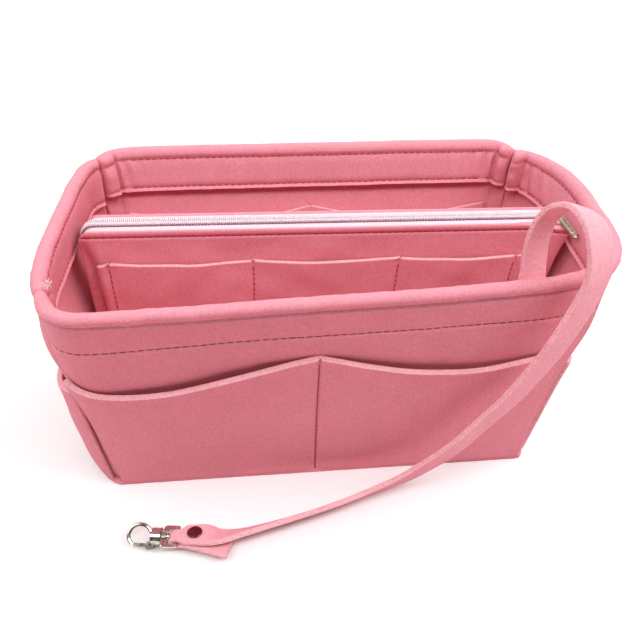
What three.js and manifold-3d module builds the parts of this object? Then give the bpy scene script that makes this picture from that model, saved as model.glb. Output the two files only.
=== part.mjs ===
// A felt organizer insert for a handbag: an open tub of sewn felt panels with pockets, a zipped pouch that
// stands in it, and a key strap with a swivel hook. Millimetres, +X to the right, +Y to the back, +Z up,
// with the origin at the middle of the underside of the base.

import * as THREE from "three";
import { mergeVertices } from "three/addons/utils/BufferGeometryUtils.js";
import Module from "manifold-3d";

const wasm = await Module();
wasm.setup();

// Felt, and the clearance that sewn or touching pieces keep.
const felt = 3;
const gap = 0.3;

// Tub. The base and the rim are measured from corner seam to corner seam, and the walls bow out between the
// seams, most at the rim. Squareness tells how far a bow reaches into the corners at its two ends. The left
// wall has a belly too, which is widest at its foot.
const baseWidth = 264;
const baseDepth = 117;
const widthFlare = 8;
const depthFlare = 21;
const tubHeight = 160;
const hemDepth = 29;
const frontBow = { out: 18.3, skew: -0.38, squareness: [18, 7], belly: 0 };
const rightBow = { out: 18.5, skew: 0.25, squareness: [5, 5], belly: 0 };
const backBow = { out: 15.5, skew: 0, squareness: [8, 8], belly: 0 };
const leftBow = { out: 6, skew: 0, squareness: [3, 3], belly: 10 };
const bowRise = 2.6;
const bellySquareness = 12;

// Outer pockets and the pocket inside the back wall.
// The front pocket's edge is a list of places along the wall, from -1 to 1, with their heights.
const pocketEdge = [
  [-1, 101],
  [-0.96, 96.8],
  [-0.88, 94.3],
  [-0.75, 95.5],
  [-0.6, 99.5],
  [-0.42, 107],
  [-0.25, 112.5],
  [-0.05, 115.5],
  [0.13, 110.5],
  [0.35, 105],
  [0.58, 102],
  [0.78, 104],
  [1, 107],
];
const pocketSeam = -0.05;
const pocketGape = 7;
const pocketRightReach = 0.95;
const endPocketDip = 93;
const endPocketEnd = 100;
const endPocketReach = 0.97;
const endPocketGape = 4;
const endPocketSquareness = 8;
const endPocketFold = 0.75;
const endPocketRise = 0.6;
const innerPocketPeak = 123;
const innerPocketDip = 113;
const innerPocketDipPlace = 0.55;
const innerPocketEnd = 125;
const innerPocketEndRise = 1.1;
const innerPocketReach = 0.9;
const innerPocketSharpness = 1.6;

// Zipped pouch.
const pouchFelt = 2.6;
const pouchSetBack = 8;
const pouchTopDepth = 22;
const pouchBottomDepth = 40;
const pouchTurn = THREE.MathUtils.degToRad(-1.5);
const pouchDrop = 12.5;
const pouchEndClearance = 1.5;
const pouchLeftCorner = 8;
const pouchRightCorner = 3;
const pouchFootCorner = 9;
const pouchPocketDrop = 20;
const pouchPocketLeftMargin = 9.5;
const pouchPocketRightMargin = 18;

// Zip.
const tapeThickness = 0.8;
const tapeSink = 1;
const coilWidth = 2.2;
const coilHeight = 1.6;
const chainGap = 1.2;
const sliderLength = 7.6;
const sliderWidth = 7.4;
const sliderPlate = 1.4;
const neckLength = 3.4;
const bridgeBar = 1.6;
const bridgePost = 1;
const bridgeRise = 2.4;
const bridgeShift = 1.2;
const pullLength = 28;
const pullWidth = 5.2;
const pullThickness = 1.2;
const pullKnuckle = 3.2;
const pullKnuckleLength = 3;
const pullDroop = THREE.MathUtils.degToRad(11);
const pinPlay = 0.3;

// Key strap: width and thickness, the place where it is sewn to the hem, and its free run to the fold at the
// hook. Each point of the run is followed by the direction from one edge of the strap to the other.
const strapWidth = 14;
const strapFoldWidth = 10.4;
const strapThickness = 2.6;
const strapTail = 31;
const strapTailDroop = 1;
const strapFoldRun = 3;
const strapTailSplay = THREE.MathUtils.degToRad(9);
const strapRootX = 96;
const strapRootDepths = [33, 26, 19, 12];
const strapRun = [
  [96.9, -66, 156, 0.96, 0.25, 0],
  [97.2, -61.8, 166, 0.94, 0.33, 0],
  [97.8, -60.2, 175, 0.94, 0.34, 0],
  [99.2, -61, 184, 0.93, 0.34, -0.1],
  [101.6, -65, 191.5, 0.9, 0.36, -0.3],
  [105, -71.5, 195, 0.86, 0.34, -0.4],
  [109, -78.5, 193, 0.88, 0.32, -0.3],
  [112.4, -84, 186.5, 0.92, 0.32, -0.15],
  [114.5, -87.5, 177, 0.94, 0.32, -0.1],
  [114.8, -89, 167, 0.92, 0.32, -0.2],
  [113, -89.4, 154, 0.88, 0.3, -0.35],
  [110.4, -89, 141, 0.84, 0.28, -0.45],
  [106.8, -88.4, 126, 0.79, 0.28, -0.52],
  [101, -87.4, 108, 0.74, 0.28, -0.58],
  [92.8, -86.4, 88.5, 0.72, 0.3, -0.62],
  [82.4, -84.8, 68.5, 0.7, 0.33, -0.62],
  [70.6, -83.2, 49.5, 0.66, 0.4, -0.62],
  [57.6, -82, 31.5, 0.58, 0.5, -0.62],
  [44, -82, 18, 0.4, 0.62, -0.64],
  [29.5, -84.2, 11, 0.12, 0.72, -0.66],
  [12, -88.6, 8.6, -0.1, 0.74, -0.66],
  [-10, -94.6, 8, -0.18, 0.76, -0.62],
  [-34, -100.2, 7.8, -0.17, 0.82, -0.54],
  [-54, -103, 7.8, -0.08, 0.88, -0.42],
  [-65, -103.6, 8.1, 0.02, 0.95, -0.24],
];
const strapSteps = 48;
const strapGatherPoints = 3;
const strapFreeingPoints = 2;

// Rivet through the folded strap.
const rivetCap = 8.6;
const rivetCapHeight = 1.3;
const rivetCapRim = 0.45;
const rivetPost = 3;
const rivetBase = 8;
const rivetBaseHeight = 0.9;
const rivetSetBack = 10.5;
const rivetFlat = 1;
const rivetPinch = 1.2;

// Swivel hook. Its frame sits at the middle of the eye's bar, with x towards the hook's tip.
const hookPlace = new THREE.Vector3(-89.5, -101.3, 6.3);
const hookTip = new THREE.Vector3(-1, 0.13, 0);
const hookUp = new THREE.Vector3(0, 0.2, 0.98);
const hookRoll = THREE.MathUtils.degToRad(133.5);
const eyeBar = 2;
const eyeOpening = 4.6;
const eyeWindowCorner = 0.8;
const eyeSideClearance = 0.5;
const eyeBoss = 6;
const eyeBossLength = 3;
const swivelPin = 2;
const swivelHead = 3.8;
const swivelHeadHeight = 0.9;
const collarWidth = 9.6;
const collarLength = 5.2;
const hookWire = 2.4;
const hookLength = 15.5;
const hookWidth = 14.4;
const hookShoulder = THREE.MathUtils.degToRad(151);
const hookNose = THREE.MathUtils.degToRad(-48);
const gateLug = 4.6;
const gateLugHeight = 4.8;
const gateLugAhead = 0.8;
const gateLugInset = 1.1;
const gateSlot = 2.2;
const gateSlotRise = 2.5;
const gateBar = 1.7;
const gatePin = 1.2;
const springLeaf = 0.35;

// Colours.
const feltColour = 0xe58a98;
const strapColour = 0xf19aa6;
const tapeColour = 0xf3c3cf;
const coilColour = 0xcdbfc8;
const nickelColour = 0xcfc8bd;
const rivetColour = 0x7d5a58;

const lerp = THREE.MathUtils.lerp;
const feltMaterial = new THREE.MeshStandardMaterial({ color: feltColour, roughness: 0.95, metalness: 0 });
const strapMaterial = new THREE.MeshStandardMaterial({ color: strapColour, roughness: 0.95, metalness: 0 });
const tapeMaterial = new THREE.MeshStandardMaterial({ color: tapeColour, roughness: 0.8, metalness: 0 });
const coilMaterial = new THREE.MeshStandardMaterial({ color: coilColour, roughness: 0.45, metalness: 0 });
const nickelMaterial = new THREE.MeshStandardMaterial({ color: nickelColour, roughness: 0.2, metalness: 1 });
const rivetMaterial = new THREE.MeshStandardMaterial({ color: rivetColour, roughness: 0.35, metalness: 1 });

// Evenly spaced numbers from a to b, both included.
function spread(a, b, steps) {
  return Array.from({ length: steps + 1 }, (_, i) => lerp(a, b, i / steps));
}

// Closed body through equal rings of points. The outline is the ring's own flat shape, for its end caps.
function loft(rings, outline) {
  const count = outline.length;
  const index = [];
  for (let r = 0; r + 1 < rings.length; r++) {
    for (let i = 0; i < count; i++) {
      const a = r * count + i;
      const b = r * count + ((i + 1) % count);
      index.push(a, b, b + count, a, b + count, a + count);
    }
  }
  const last = (rings.length - 1) * count;
  const ringArea = THREE.ShapeUtils.area(outline);
  for (const [i, j, k] of THREE.ShapeUtils.triangulateShape(outline, [])) {
    const same = ringArea * THREE.ShapeUtils.area([outline[i], outline[j], outline[k]]) > 0;
    const [p, q] = same ? [j, k] : [k, j];
    index.push(i, q, p, last + i, last + p, last + q);
  }
  const points = rings.flat();
  const geometry = new THREE.BufferGeometry().setFromPoints(points);
  geometry.setIndex(signedVolume(points, index) < 0 ? index.reverse() : index);
  return geometry;
}

function signedVolume(points, index) {
  let sum = 0;
  const cross = new THREE.Vector3();
  for (let i = 0; i < index.length; i += 3) {
    cross.crossVectors(points[index[i + 1]], points[index[i + 2]]);
    sum += points[index[i]].dot(cross);
  }
  return sum / 6;
}

// Joins and cuts of closed geometries.
function toSolid(geometry) {
  const bare = geometry.clone();
  bare.deleteAttribute("normal");
  bare.deleteAttribute("uv");
  const merged = mergeVertices(bare, 1e-4);
  const vertProperties = new Float32Array(merged.getAttribute("position").array);
  const triVerts = new Uint32Array(merged.index.array);
  return new wasm.Manifold(new wasm.Mesh({ numProp: 3, vertProperties, triVerts }));
}

function toGeometry(solid) {
  const mesh = solid.getMesh();
  const geometry = new THREE.BufferGeometry();
  geometry.setAttribute("position", new THREE.BufferAttribute(mesh.vertProperties, 3));
  return geometry.setIndex(new THREE.BufferAttribute(mesh.triVerts, 1));
}

function combine(joined, cuts = []) {
  const whole = joined.map(toSolid).reduce((a, b) => a.add(b));
  return toGeometry(cuts.map(toSolid).reduce((a, b) => a.subtract(b), whole));
}

function box(x0, x1, y0, y1, z0, z1) {
  const geometry = new THREE.BoxGeometry(x1 - x0, y1 - y0, z1 - z0);
  return geometry.translate((x0 + x1) / 2, (y0 + y1) / 2, (z0 + z1) / 2);
}

// Round bars along x and along z.
function barX(diameter, x0, x1, y = 0, z = 0, sides = 20) {
  const geometry = new THREE.CylinderGeometry(diameter / 2, diameter / 2, x1 - x0, sides);
  return geometry.rotateZ(Math.PI / 2).translate((x0 + x1) / 2, y, z);
}

function barZ(diameter, z0, z1, x = 0, y = 0, sides = 20) {
  const geometry = new THREE.CylinderGeometry(diameter / 2, diameter / 2, z1 - z0, sides);
  return geometry.rotateX(Math.PI / 2).translate(x, y, (z0 + z1) / 2);
}

const organizer = new THREE.Group();

function addMesh(parent, name, geometry, material) {
  const mesh = new THREE.Mesh(geometry, material);
  mesh.name = name;
  parent.add(mesh);
  return mesh;
}

// Walls of the tub. Each wall has a frame of its own, with x along the wall and +y into the tub, turned
// about the middle of the tub. The wall after it, counter-clockwise from above, meets it at u = 1.
const wallFoot = felt + gap;
const pocketStep = felt + gap;
const hemThickness = 2 * felt + gap;
const hemEdge = tubHeight - hemDepth;

const walls = {
  front: { turn: 0, size: "width", bow: frontBow, next: "right", last: "left" },
  right: { turn: 1, size: "depth", bow: rightBow, next: "back", last: "front" },
  back: { turn: 2, size: "width", bow: backBow, next: "left", last: "right" },
  left: { turn: 3, size: "depth", bow: leftBow, next: "front", last: "back" },
};

// Half of the tub's width and depth at a height, from seam to seam.
function seamHalf(z) {
  const share = z / tubHeight;
  return {
    width: lerp(baseWidth / 2 - pocketStep, (baseWidth + widthFlare) / 2, share),
    depth: lerp(baseDepth / 2 - pocketStep, (baseDepth + depthFlare) / 2, share),
  };
}

// How far a wall stands out from the straight line between its seams.
function bulge(wall, u, z) {
  const { out, skew, squareness, belly } = wall.bow;
  const share = z / tubHeight;
  const across = 1 - Math.pow(Math.abs(u), u < 0 ? squareness[0] : squareness[1]);
  const bow = out * Math.pow(share, bowRise) * across * (1 + skew * u);
  return bow + belly * (1 - share * share) * (1 - Math.pow(Math.abs(u), bellySquareness));
}

// Outer face of a wall at u, from -1 to 1 along it, and height z.
function outerFace(wall, u, z) {
  const half = seamHalf(z);
  const along = wall.size === "width" ? half.width : half.depth;
  const away = wall.size === "width" ? half.depth : half.width;
  return new THREE.Vector3(u * along, -(away + bulge(wall, u, z)), z);
}

// Level direction into the tub, square to the outer face.
function inward(wall, u, z) {
  const step = 1e-3;
  const from = outerFace(wall, Math.max(-1, u - step), z);
  const to = outerFace(wall, Math.min(1, u + step), z);
  return new THREE.Vector3(from.y - to.y, to.x - from.x, 0).normalize();
}

// At a corner seam the inner faces of two walls meet on a mitre.
function mitre(wall, u, z) {
  const own = inward(wall, u, z);
  const other = inward(walls[u > 0 ? wall.next : wall.last], -u, z);
  other.set(-u * other.y, u * other.x, 0);
  return own.clone().add(other).divideScalar(1 + own.dot(other));
}

function wallPoint(wall, u, z, inset) {
  const atSeam = Math.abs(u) === 1;
  const direction = atSeam ? mitre(wall, u, z) : inward(wall, u, z);
  const point = outerFace(wall, u, z).addScaledVector(direction, inset);
  point.x -= atSeam ? u * gap : 0;
  return point;
}

// A wall with its hem folded in, and a round roll along the rim.
function wallOutline() {
  const roll = hemThickness / 2;
  const lower = spread(wallFoot, hemEdge, 7);
  const upper = [lerp(hemEdge, tubHeight - roll, 0.5), tubHeight - roll];
  const outer = [...lower, ...upper].map((z) => [0, z]);
  const top = spread(0, Math.PI, 6).slice(1, -1);
  const round = top.map((a) => [roll - roll * Math.cos(a), tubHeight - roll + roll * Math.sin(a)]);
  const hem = [hemEdge, ...upper].reverse().map((z) => [hemThickness, z]);
  const inner = lower.reverse().map((z) => [felt, z]);
  return [...outer, ...round, ...hem, ...inner];
}

// Columns between the seams, closer together towards the ends, clear of the mitres.
function innerColumns(wall) {
  const reach = 1 - (2 * felt) / seamHalf(0)[wall.size];
  return spread(-1, 1, 14).map((s) => reach * Math.sin((s * Math.PI) / 2));
}

function wallColumns(wall) {
  return [-1, ...innerColumns(wall), 1];
}

function wallGeometry(wall) {
  const outline = wallOutline();
  const rings = wallColumns(wall).map((u) => outline.map(([inset, z]) => wallPoint(wall, u, z, inset)));
  return loft(rings, outline.map(([inset, z]) => new THREE.Vector2(inset, z)));
}

function addToWall(wall, name, geometry) {
  const turned = new THREE.Group();
  turned.rotation.z = (wall.turn * Math.PI) / 2;
  organizer.add(turned);
  addMesh(turned, name, geometry, feltMaterial);
}

for (const [side, wall] of Object.entries(walls)) {
  addToWall(wall, `${side}_wall`, wallGeometry(wall));
}

// Base: it reaches out past the feet of the walls, under the outer pockets.
function baseSide(wall) {
  const columns = wall.bow.belly > 0 ? wallColumns(wall) : [-1, 1];
  return columns.map((u) => {
    const edge = outerFace(wall, u, 0).addScaledVector(inward(wall, u, 0), -pocketStep);
    return new THREE.Vector2(edge.x, edge.y).rotateAround(new THREE.Vector2(), (wall.turn * Math.PI) / 2);
  });
}

const baseShape = new THREE.Shape(Object.values(walls).flatMap(baseSide));
const baseSlab = new THREE.ExtrudeGeometry(baseShape, { depth: felt, bevelEnabled: false });
addMesh(organizer, "base_panel", baseSlab, feltMaterial);

// Rectangle with round corners about the origin.
function rectangle(width, depth, corner) {
  const x = width / 2;
  const y = depth / 2;
  const shape = new THREE.Shape();
  shape.moveTo(-x + corner, -y);
  shape.lineTo(x - corner, -y);
  shape.absarc(x - corner, -y + corner, corner, -Math.PI / 2, 0);
  shape.lineTo(x, y - corner);
  shape.absarc(x - corner, y - corner, corner, 0, Math.PI / 2);
  shape.lineTo(-x + corner, y);
  shape.absarc(-x + corner, y - corner, corner, Math.PI / 2, Math.PI);
  shape.lineTo(-x, -y + corner);
  shape.absarc(-x + corner, -y + corner, corner, Math.PI, Math.PI * 1.5);
  return shape;
}

// Pocket panels follow a wall. The panel stands off the wall by an amount that grows up to its mouth.
function pocketGeometry(wall, columns, topAt, insetAt) {
  const rows = spread(0, 1, 6);
  const rings = columns.map((u) => {
    const top = topAt(u);
    const place = (share, side) => {
      const z = lerp(wallFoot, top, share);
      const inset = insetAt(u, share) + side * felt;
      return outerFace(wall, u, z).addScaledVector(inward(wall, u, z), inset);
    };
    return [...rows.map((s) => place(s, 0)), ...rows.toReversed().map((s) => place(s, 1))];
  });
  const near = rows.map((s) => new THREE.Vector2(0, s));
  const far = rows.toReversed().map((s) => new THREE.Vector2(1, s));
  return loft(rings, [...near, ...far]);
}

// Front pocket: its edge stands off most midway between the seam and each end.
const pocketPlaces = pocketEdge.map(([place]) => place);
const pocketHeights = pocketEdge.map(([, height]) => height);
const pocketCurve = new THREE.CubicInterpolant(pocketPlaces, pocketHeights, 1, new Float64Array(1));

function pocketStand(u) {
  const span = u < pocketSeam ? 1 + pocketSeam : pocketRightReach - pocketSeam;
  return pocketGape * Math.sin((Math.PI * Math.abs(u - pocketSeam)) / span);
}

// Columns with one more between each pair.
function refined(columns) {
  return columns.flatMap((u, i) => (i === 0 ? [u] : [(columns[i - 1] + u) / 2, u]));
}

const frontPocket = pocketGeometry(
  walls.front,
  refined(wallColumns(walls.front)).map((u) => (u < 0 ? u : u * pocketRightReach)),
  (u) => pocketCurve.evaluate(u)[0],
  (u, share) => -pocketStep - pocketStand(u) * share * share,
);
addToWall(walls.front, "front_pocket_panel", frontPocket);

// End pockets: they stand off most halfway up and come back to the wall at their ends and towards the mouth.
function endPocketStand(u, share) {
  const across = 1 - Math.pow(Math.abs(u) / endPocketReach, endPocketSquareness);
  return endPocketGape * across * Math.sin(Math.PI * endPocketFold * Math.pow(share, endPocketRise));
}

for (const side of ["left", "right"]) {
  const endPocket = pocketGeometry(
    walls[side],
    [-endPocketReach, ...innerColumns(walls[side]), endPocketReach],
    (u) => lerp(endPocketDip, endPocketEnd, u * u),
    (u, share) => -pocketStep - endPocketStand(u, share),
  );
  addToWall(walls[side], `${side}_pocket_panel`, endPocket);
}

// Inner pocket: a peak in the middle, a dip on each side of it and raised ends.
function innerPocketTop(u) {
  const a = Math.abs(u) / innerPocketReach;
  if (a < innerPocketDipPlace) {
    const climb = Math.pow(1 - a / innerPocketDipPlace, innerPocketSharpness);
    return lerp(innerPocketDip, innerPocketPeak, climb);
  }
  const rise = (a - innerPocketDipPlace) / (1 - innerPocketDipPlace);
  return lerp(innerPocketDip, innerPocketEnd, Math.pow(rise, innerPocketEndRise));
}

const innerPocketSpan = innerPocketReach - felt / seamHalf(0).width;
const innerPocketColumns = innerColumns(walls.back).filter((u) => Math.abs(u) < innerPocketSpan);
const innerPocket = pocketGeometry(
  walls.back,
  [-innerPocketReach, ...innerPocketColumns, innerPocketReach],
  innerPocketTop,
  () => pocketStep,
);
addToWall(walls.back, "inner_pocket_panel", innerPocket);

// Zipped pouch. Its ends follow the end walls, its sides lean in towards the zip.
const pouch = new THREE.Group();
pouch.position.y = pouchSetBack;
pouch.rotation.z = pouchTurn;
organizer.add(pouch);

const pouchTop = tubHeight - pouchDrop;
const pouchFoot = felt + gap;
const pouchLean = (pouchBottomDepth - pouchTopDepth) / 2 / (pouchTop - pouchFoot);

function pouchHalfDepth(z) {
  return pouchTopDepth / 2 + (pouchTop - z) * pouchLean;
}

// The ends of the pouch keep clear of the end walls, and of the hems that they pass when it is lifted out.
function pouchEnd(wall, z) {
  const nearHem = THREE.MathUtils.smoothstep(z, hemEdge - hemDepth, hemEdge);
  const inside = -outerFace(wall, 0, z).y - lerp(felt, hemThickness, nearHem);
  const mouth = -outerFace(wall, 0, Math.max(z, hemEdge)).y - hemThickness;
  return Math.min(inside, mouth) - pouchEndClearance;
}

// Outline of the pouch in x and z, counter-clockwise from the right end of the zip's straight run.
function roundCorner(x, z, radius, from, to, steps) {
  return spread(from, to, steps).map((a) => [x + radius * Math.cos(a), z + radius * Math.sin(a)]);
}

const rightShoulder = pouchTop - pouchRightCorner;
const leftShoulder = pouchTop - pouchLeftCorner;
const zipRight = pouchEnd(walls.right, rightShoulder) - pouchRightCorner;
const zipLeft = -pouchEnd(walls.left, leftShoulder) + pouchLeftCorner;

function pouchSide(wall, shoulder, sign) {
  const heights = spread(pouchFoot + pouchFootCorner, shoulder, 7).slice(1, -1);
  return heights.map((z) => [sign * pouchEnd(wall, z), z]);
}

const footRight = pouchEnd(walls.right, pouchFoot + pouchFootCorner) - pouchFootCorner;
const footLeft = -pouchEnd(walls.left, pouchFoot + pouchFootCorner) + pouchFootCorner;
const footCentre = pouchFoot + pouchFootCorner;

const topRightArc = roundCorner(zipRight, rightShoulder, pouchRightCorner, 0, Math.PI / 2, 4);
const topLeftArc = roundCorner(zipLeft, leftShoulder, pouchLeftCorner, Math.PI / 2, Math.PI, 4);
const footLeftArc = roundCorner(footLeft, footCentre, pouchFootCorner, Math.PI, Math.PI * 1.5, 4);
const footRightArc = roundCorner(footRight, footCentre, pouchFootCorner, -Math.PI / 2, 0, 4);
const leftSide = pouchSide(walls.left, leftShoulder, -1).reverse();
const rightSide = pouchSide(walls.right, rightShoulder, 1);
const pouchUpper = [...topRightArc, ...topLeftArc, ...leftSide];
const pouchOutline = [...pouchUpper, ...footLeftArc, ...footRightArc, ...rightSide];

// Upright slab in the pouch's frame. Its outer face lies out from the middle, on the front (-1) or back (1).
function pouchSlab(points, side, out, thickness) {
  const shape = new THREE.Shape(points.map(([x, z]) => new THREE.Vector2(x, z)));
  const slab = new THREE.ExtrudeGeometry(shape, { depth: thickness, bevelEnabled: false });
  slab.rotateX(Math.PI / 2);
  slab.translate(0, side < 0 ? thickness - out : out, 0);
  const lean = new THREE.Matrix4().makeShear(0, 0, 0, 0, 0, -side * pouchLean);
  const toTop = new THREE.Matrix4().makeTranslation(0, 0, -pouchTop);
  const back = new THREE.Matrix4().makeTranslation(0, 0, pouchTop);
  return slab.applyMatrix4(toTop).applyMatrix4(lean).applyMatrix4(back);
}

const frontSlab = pouchSlab(pouchOutline, -1, pouchTopDepth / 2, pouchFelt);
const backSlab = pouchSlab(pouchOutline, 1, pouchTopDepth / 2, pouchFelt);
addMesh(pouch, "pouch_front_panel", frontSlab, feltMaterial);
addMesh(pouch, "pouch_back_panel", backSlab, feltMaterial);

const lowHeights = spread(pouchFoot + gap, pouchTop - pouchPocketDrop, 4);
const lowRight = lowHeights.map((z) => [pouchEnd(walls.right, z) - pouchPocketRightMargin, z]);
const lowLeft = lowHeights.map((z) => [pouchPocketLeftMargin - pouchEnd(walls.left, z), z]);
const lowPoints = [...lowRight, ...lowLeft.reverse()];
const pocketSlab = pouchSlab(lowPoints, -1, pouchTopDepth / 2 + gap + pouchFelt, pouchFelt);
addMesh(pouch, "pouch_pocket_panel", pocketSlab, feltMaterial);

// Strip along a path in x and z, with its outer face on the path sunk by a depth, between two y limits.
function strip(path, sink, thickness, limits) {
  const rings = path.map(([x, z], i) => {
    const [x0, z0] = path[Math.max(0, i - 1)];
    const [x1, z1] = path[Math.min(path.length - 1, i + 1)];
    const into = new THREE.Vector2(z0 - z1, x1 - x0).normalize();
    const [y0, y1] = limits(z);
    const at = (depth, y) => new THREE.Vector3(x + into.x * depth, y, z + into.y * depth);
    return [at(sink, y0), at(sink, y1), at(sink + thickness, y1), at(sink + thickness, y0)];
  });
  const corners = [[0, 0], [0, 1], [1, 1], [1, 0]];
  return loft(rings, corners.map(([a, b]) => new THREE.Vector2(a, b)));
}

const gussetDrop = tapeSink + tapeThickness;
const gussetLeft = [-pouchEnd(walls.left, leftShoulder - gussetDrop), leftShoulder - gussetDrop];
const gussetRight = [pouchEnd(walls.right, rightShoulder - gussetDrop), rightShoulder - gussetDrop];
const gussetPath = [gussetLeft, ...leftSide, ...footLeftArc, ...footRightArc, ...rightSide, gussetRight];
const gusset = strip(gussetPath, 0, pouchFelt, (z) => {
  const half = pouchHalfDepth(z) - pouchFelt - gap;
  return [-half, half];
});
addMesh(pouch, "pouch_gusset", gusset, feltMaterial);

// Zip tapes lie between the panels, with the coil rows on top of them along their inner edges.
const zipPath = [...topRightArc.slice(1), ...topLeftArc.slice(0, -1)];
const tapeEdge = pouchTopDepth / 2 - pouchFelt - gap;
const coilBase = tapeSink - gap;
const coilEdge = chainGap / 2 + coilWidth;
for (const [side, sign] of [["front", -1], ["back", 1]]) {
  const order = (a, b) => (sign < 0 ? [-b, -a] : [a, b]);
  const tape = strip(zipPath, tapeSink, tapeThickness, () => order(chainGap / 2, tapeEdge));
  const coil = strip(zipPath, coilBase - coilHeight, coilHeight, () => order(chainGap / 2, coilEdge));
  addMesh(pouch, `zip_tape_${side}`, tape, tapeMaterial);
  addMesh(pouch, `zip_coil_${side}`, coil, coilMaterial);
}

// Slider: plates above and below the chain on a thin neck, and a bridge whose bar carries the pull.
const slider = new THREE.Group();
slider.position.set(zipRight - sliderLength / 2, 0, pouchTop);
pouch.add(slider);

const plateFoot = coilHeight - coilBase + gap;
const plateTop = plateFoot + sliderPlate;
const underTop = -tapeSink - tapeThickness - gap;
const underFoot = underTop - sliderPlate;
const neckWidth = chainGap - 2 * gap;
const barHeight = plateTop + bridgeRise;
const bridgeHalf = pullKnuckleLength / 2 + gap + bridgePost;
const bridgeLeft = bridgeShift - bridgeHalf;
const bridgeRight = bridgeShift + bridgeHalf;
const postHalf = bridgeBar / 2;
const sliderX = sliderLength / 2;
const sliderY = sliderWidth / 2;

const sliderBody = combine([
  box(-sliderX, sliderX, -sliderY, sliderY, plateFoot, plateTop),
  box(-sliderX, sliderX, -sliderY, sliderY, underFoot, underTop),
  box(-neckLength / 2, neckLength / 2, -neckWidth / 2, neckWidth / 2, underTop - gap, plateFoot + gap),
  box(bridgeLeft, bridgeLeft + bridgePost, -postHalf, postHalf, plateTop - gap, barHeight + postHalf),
  box(bridgeRight - bridgePost, bridgeRight, -postHalf, postHalf, plateTop - gap, barHeight + postHalf),
  barX(bridgeBar, bridgeLeft + bridgePost / 2, bridgeRight - bridgePost / 2, 0, barHeight, 12),
]);
addMesh(slider, "zip_slider", sliderBody, nickelMaterial);

// The pull lies over the pouch's front edge. Its knuckle turns on the bridge's bar.
const pull = new THREE.Group();
pull.position.set(bridgeShift, 0, barHeight);
pull.rotation.x = pullDroop;
slider.add(pull);

const knuckleHalf = pullKnuckleLength / 2;
const pullHalf = pullWidth / 2;
const leafHalf = pullThickness / 2;
const leafRoot = pullKnuckle / 2 + sliderY;
const pullBody = combine(
  [
    barX(pullKnuckle, -knuckleHalf, knuckleHalf, 0, 0, 16),
    box(-knuckleHalf, knuckleHalf, -leafRoot, 0, -leafHalf, leafHalf),
    box(-pullHalf, pullHalf, -pullLength, -leafRoot + gap, -leafHalf, leafHalf),
  ],
  [barX(bridgeBar + 2 * pinPlay, -pullWidth, pullWidth, 0, 0, 16)],
);
addMesh(pull, "zip_pull", pullBody, nickelMaterial);

// Hook frame: x to the tip, z out of the strap's upper face.
const hook = new THREE.Group();
const hookX = hookTip.clone().normalize();
const hookZ = hookUp.clone().addScaledVector(hookX, -hookUp.dot(hookX)).normalize();
const hookY = new THREE.Vector3().crossVectors(hookZ, hookX);
const hookFrame = new THREE.Matrix4().makeBasis(hookX, hookY, hookZ).setPosition(hookPlace);
hook.applyMatrix4(hookFrame);
organizer.add(hook);

// Key strap: the run from the hem, then the fold round the eye's bar and the tail under the run.
const foldRadius = eyeBar / 2 + gap + strapThickness / 2;
const tailAtRivet = rivetPinch - foldRadius;
const acrossFold = new THREE.Vector3(0, -1, 0);

function foldPoint(x, z, splay = 0) {
  const y = Math.tan(splay) * (foldRadius + x);
  const across = acrossFold.clone().applyAxisAngle(new THREE.Vector3(0, 0, 1), -splay);
  const point = new THREE.Vector3(x, y, z).applyMatrix4(hookFrame);
  return { point, across: across.transformDirection(hookFrame) };
}

function rootPoint(depth) {
  const z = tubHeight - depth;
  const u = strapRootX / seamHalf(z).width;
  const face = hemThickness + 2 * gap + strapThickness / 2;
  const into = inward(walls.front, u, z);
  const point = outerFace(walls.front, u, z).addScaledVector(into, face);
  return { point, across: new THREE.Vector3(into.y, -into.x, 0) };
}

function strapPath() {
  const free = strapRun.map(([x, y, z, ...across]) => ({
    point: new THREE.Vector3(x, y, z),
    across: new THREE.Vector3(...across),
  }));
  const run = [...strapRootDepths.map(rootPoint), ...free];
  const flat = rivetCap / 2 + rivetFlat;
  const level = [-rivetSetBack - flat, -rivetSetBack + flat, -strapFoldRun];
  const before = level.map((x) => foldPoint(x, foldRadius));
  const turns = spread(Math.PI / 2, -Math.PI / 2, 6);
  const fold = turns.map((a) => foldPoint(foldRadius * Math.cos(a), foldRadius * Math.sin(a)));
  const tail = [
    foldPoint((flat - rivetSetBack) / 2, (tailAtRivet - foldRadius) / 2, -strapTailSplay),
    foldPoint(flat - rivetSetBack, tailAtRivet, -strapTailSplay),
    foldPoint(-flat - rivetSetBack, tailAtRivet, -strapTailSplay),
    foldPoint(-strapTail, tailAtRivet - strapTailDroop, -strapTailSplay),
  ];
  const foldEnd = run.length + before.length + fold.length - 1;
  return { points: [...run, ...before, ...fold, ...tail], foldStart: run.length, foldEnd };
}

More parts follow.
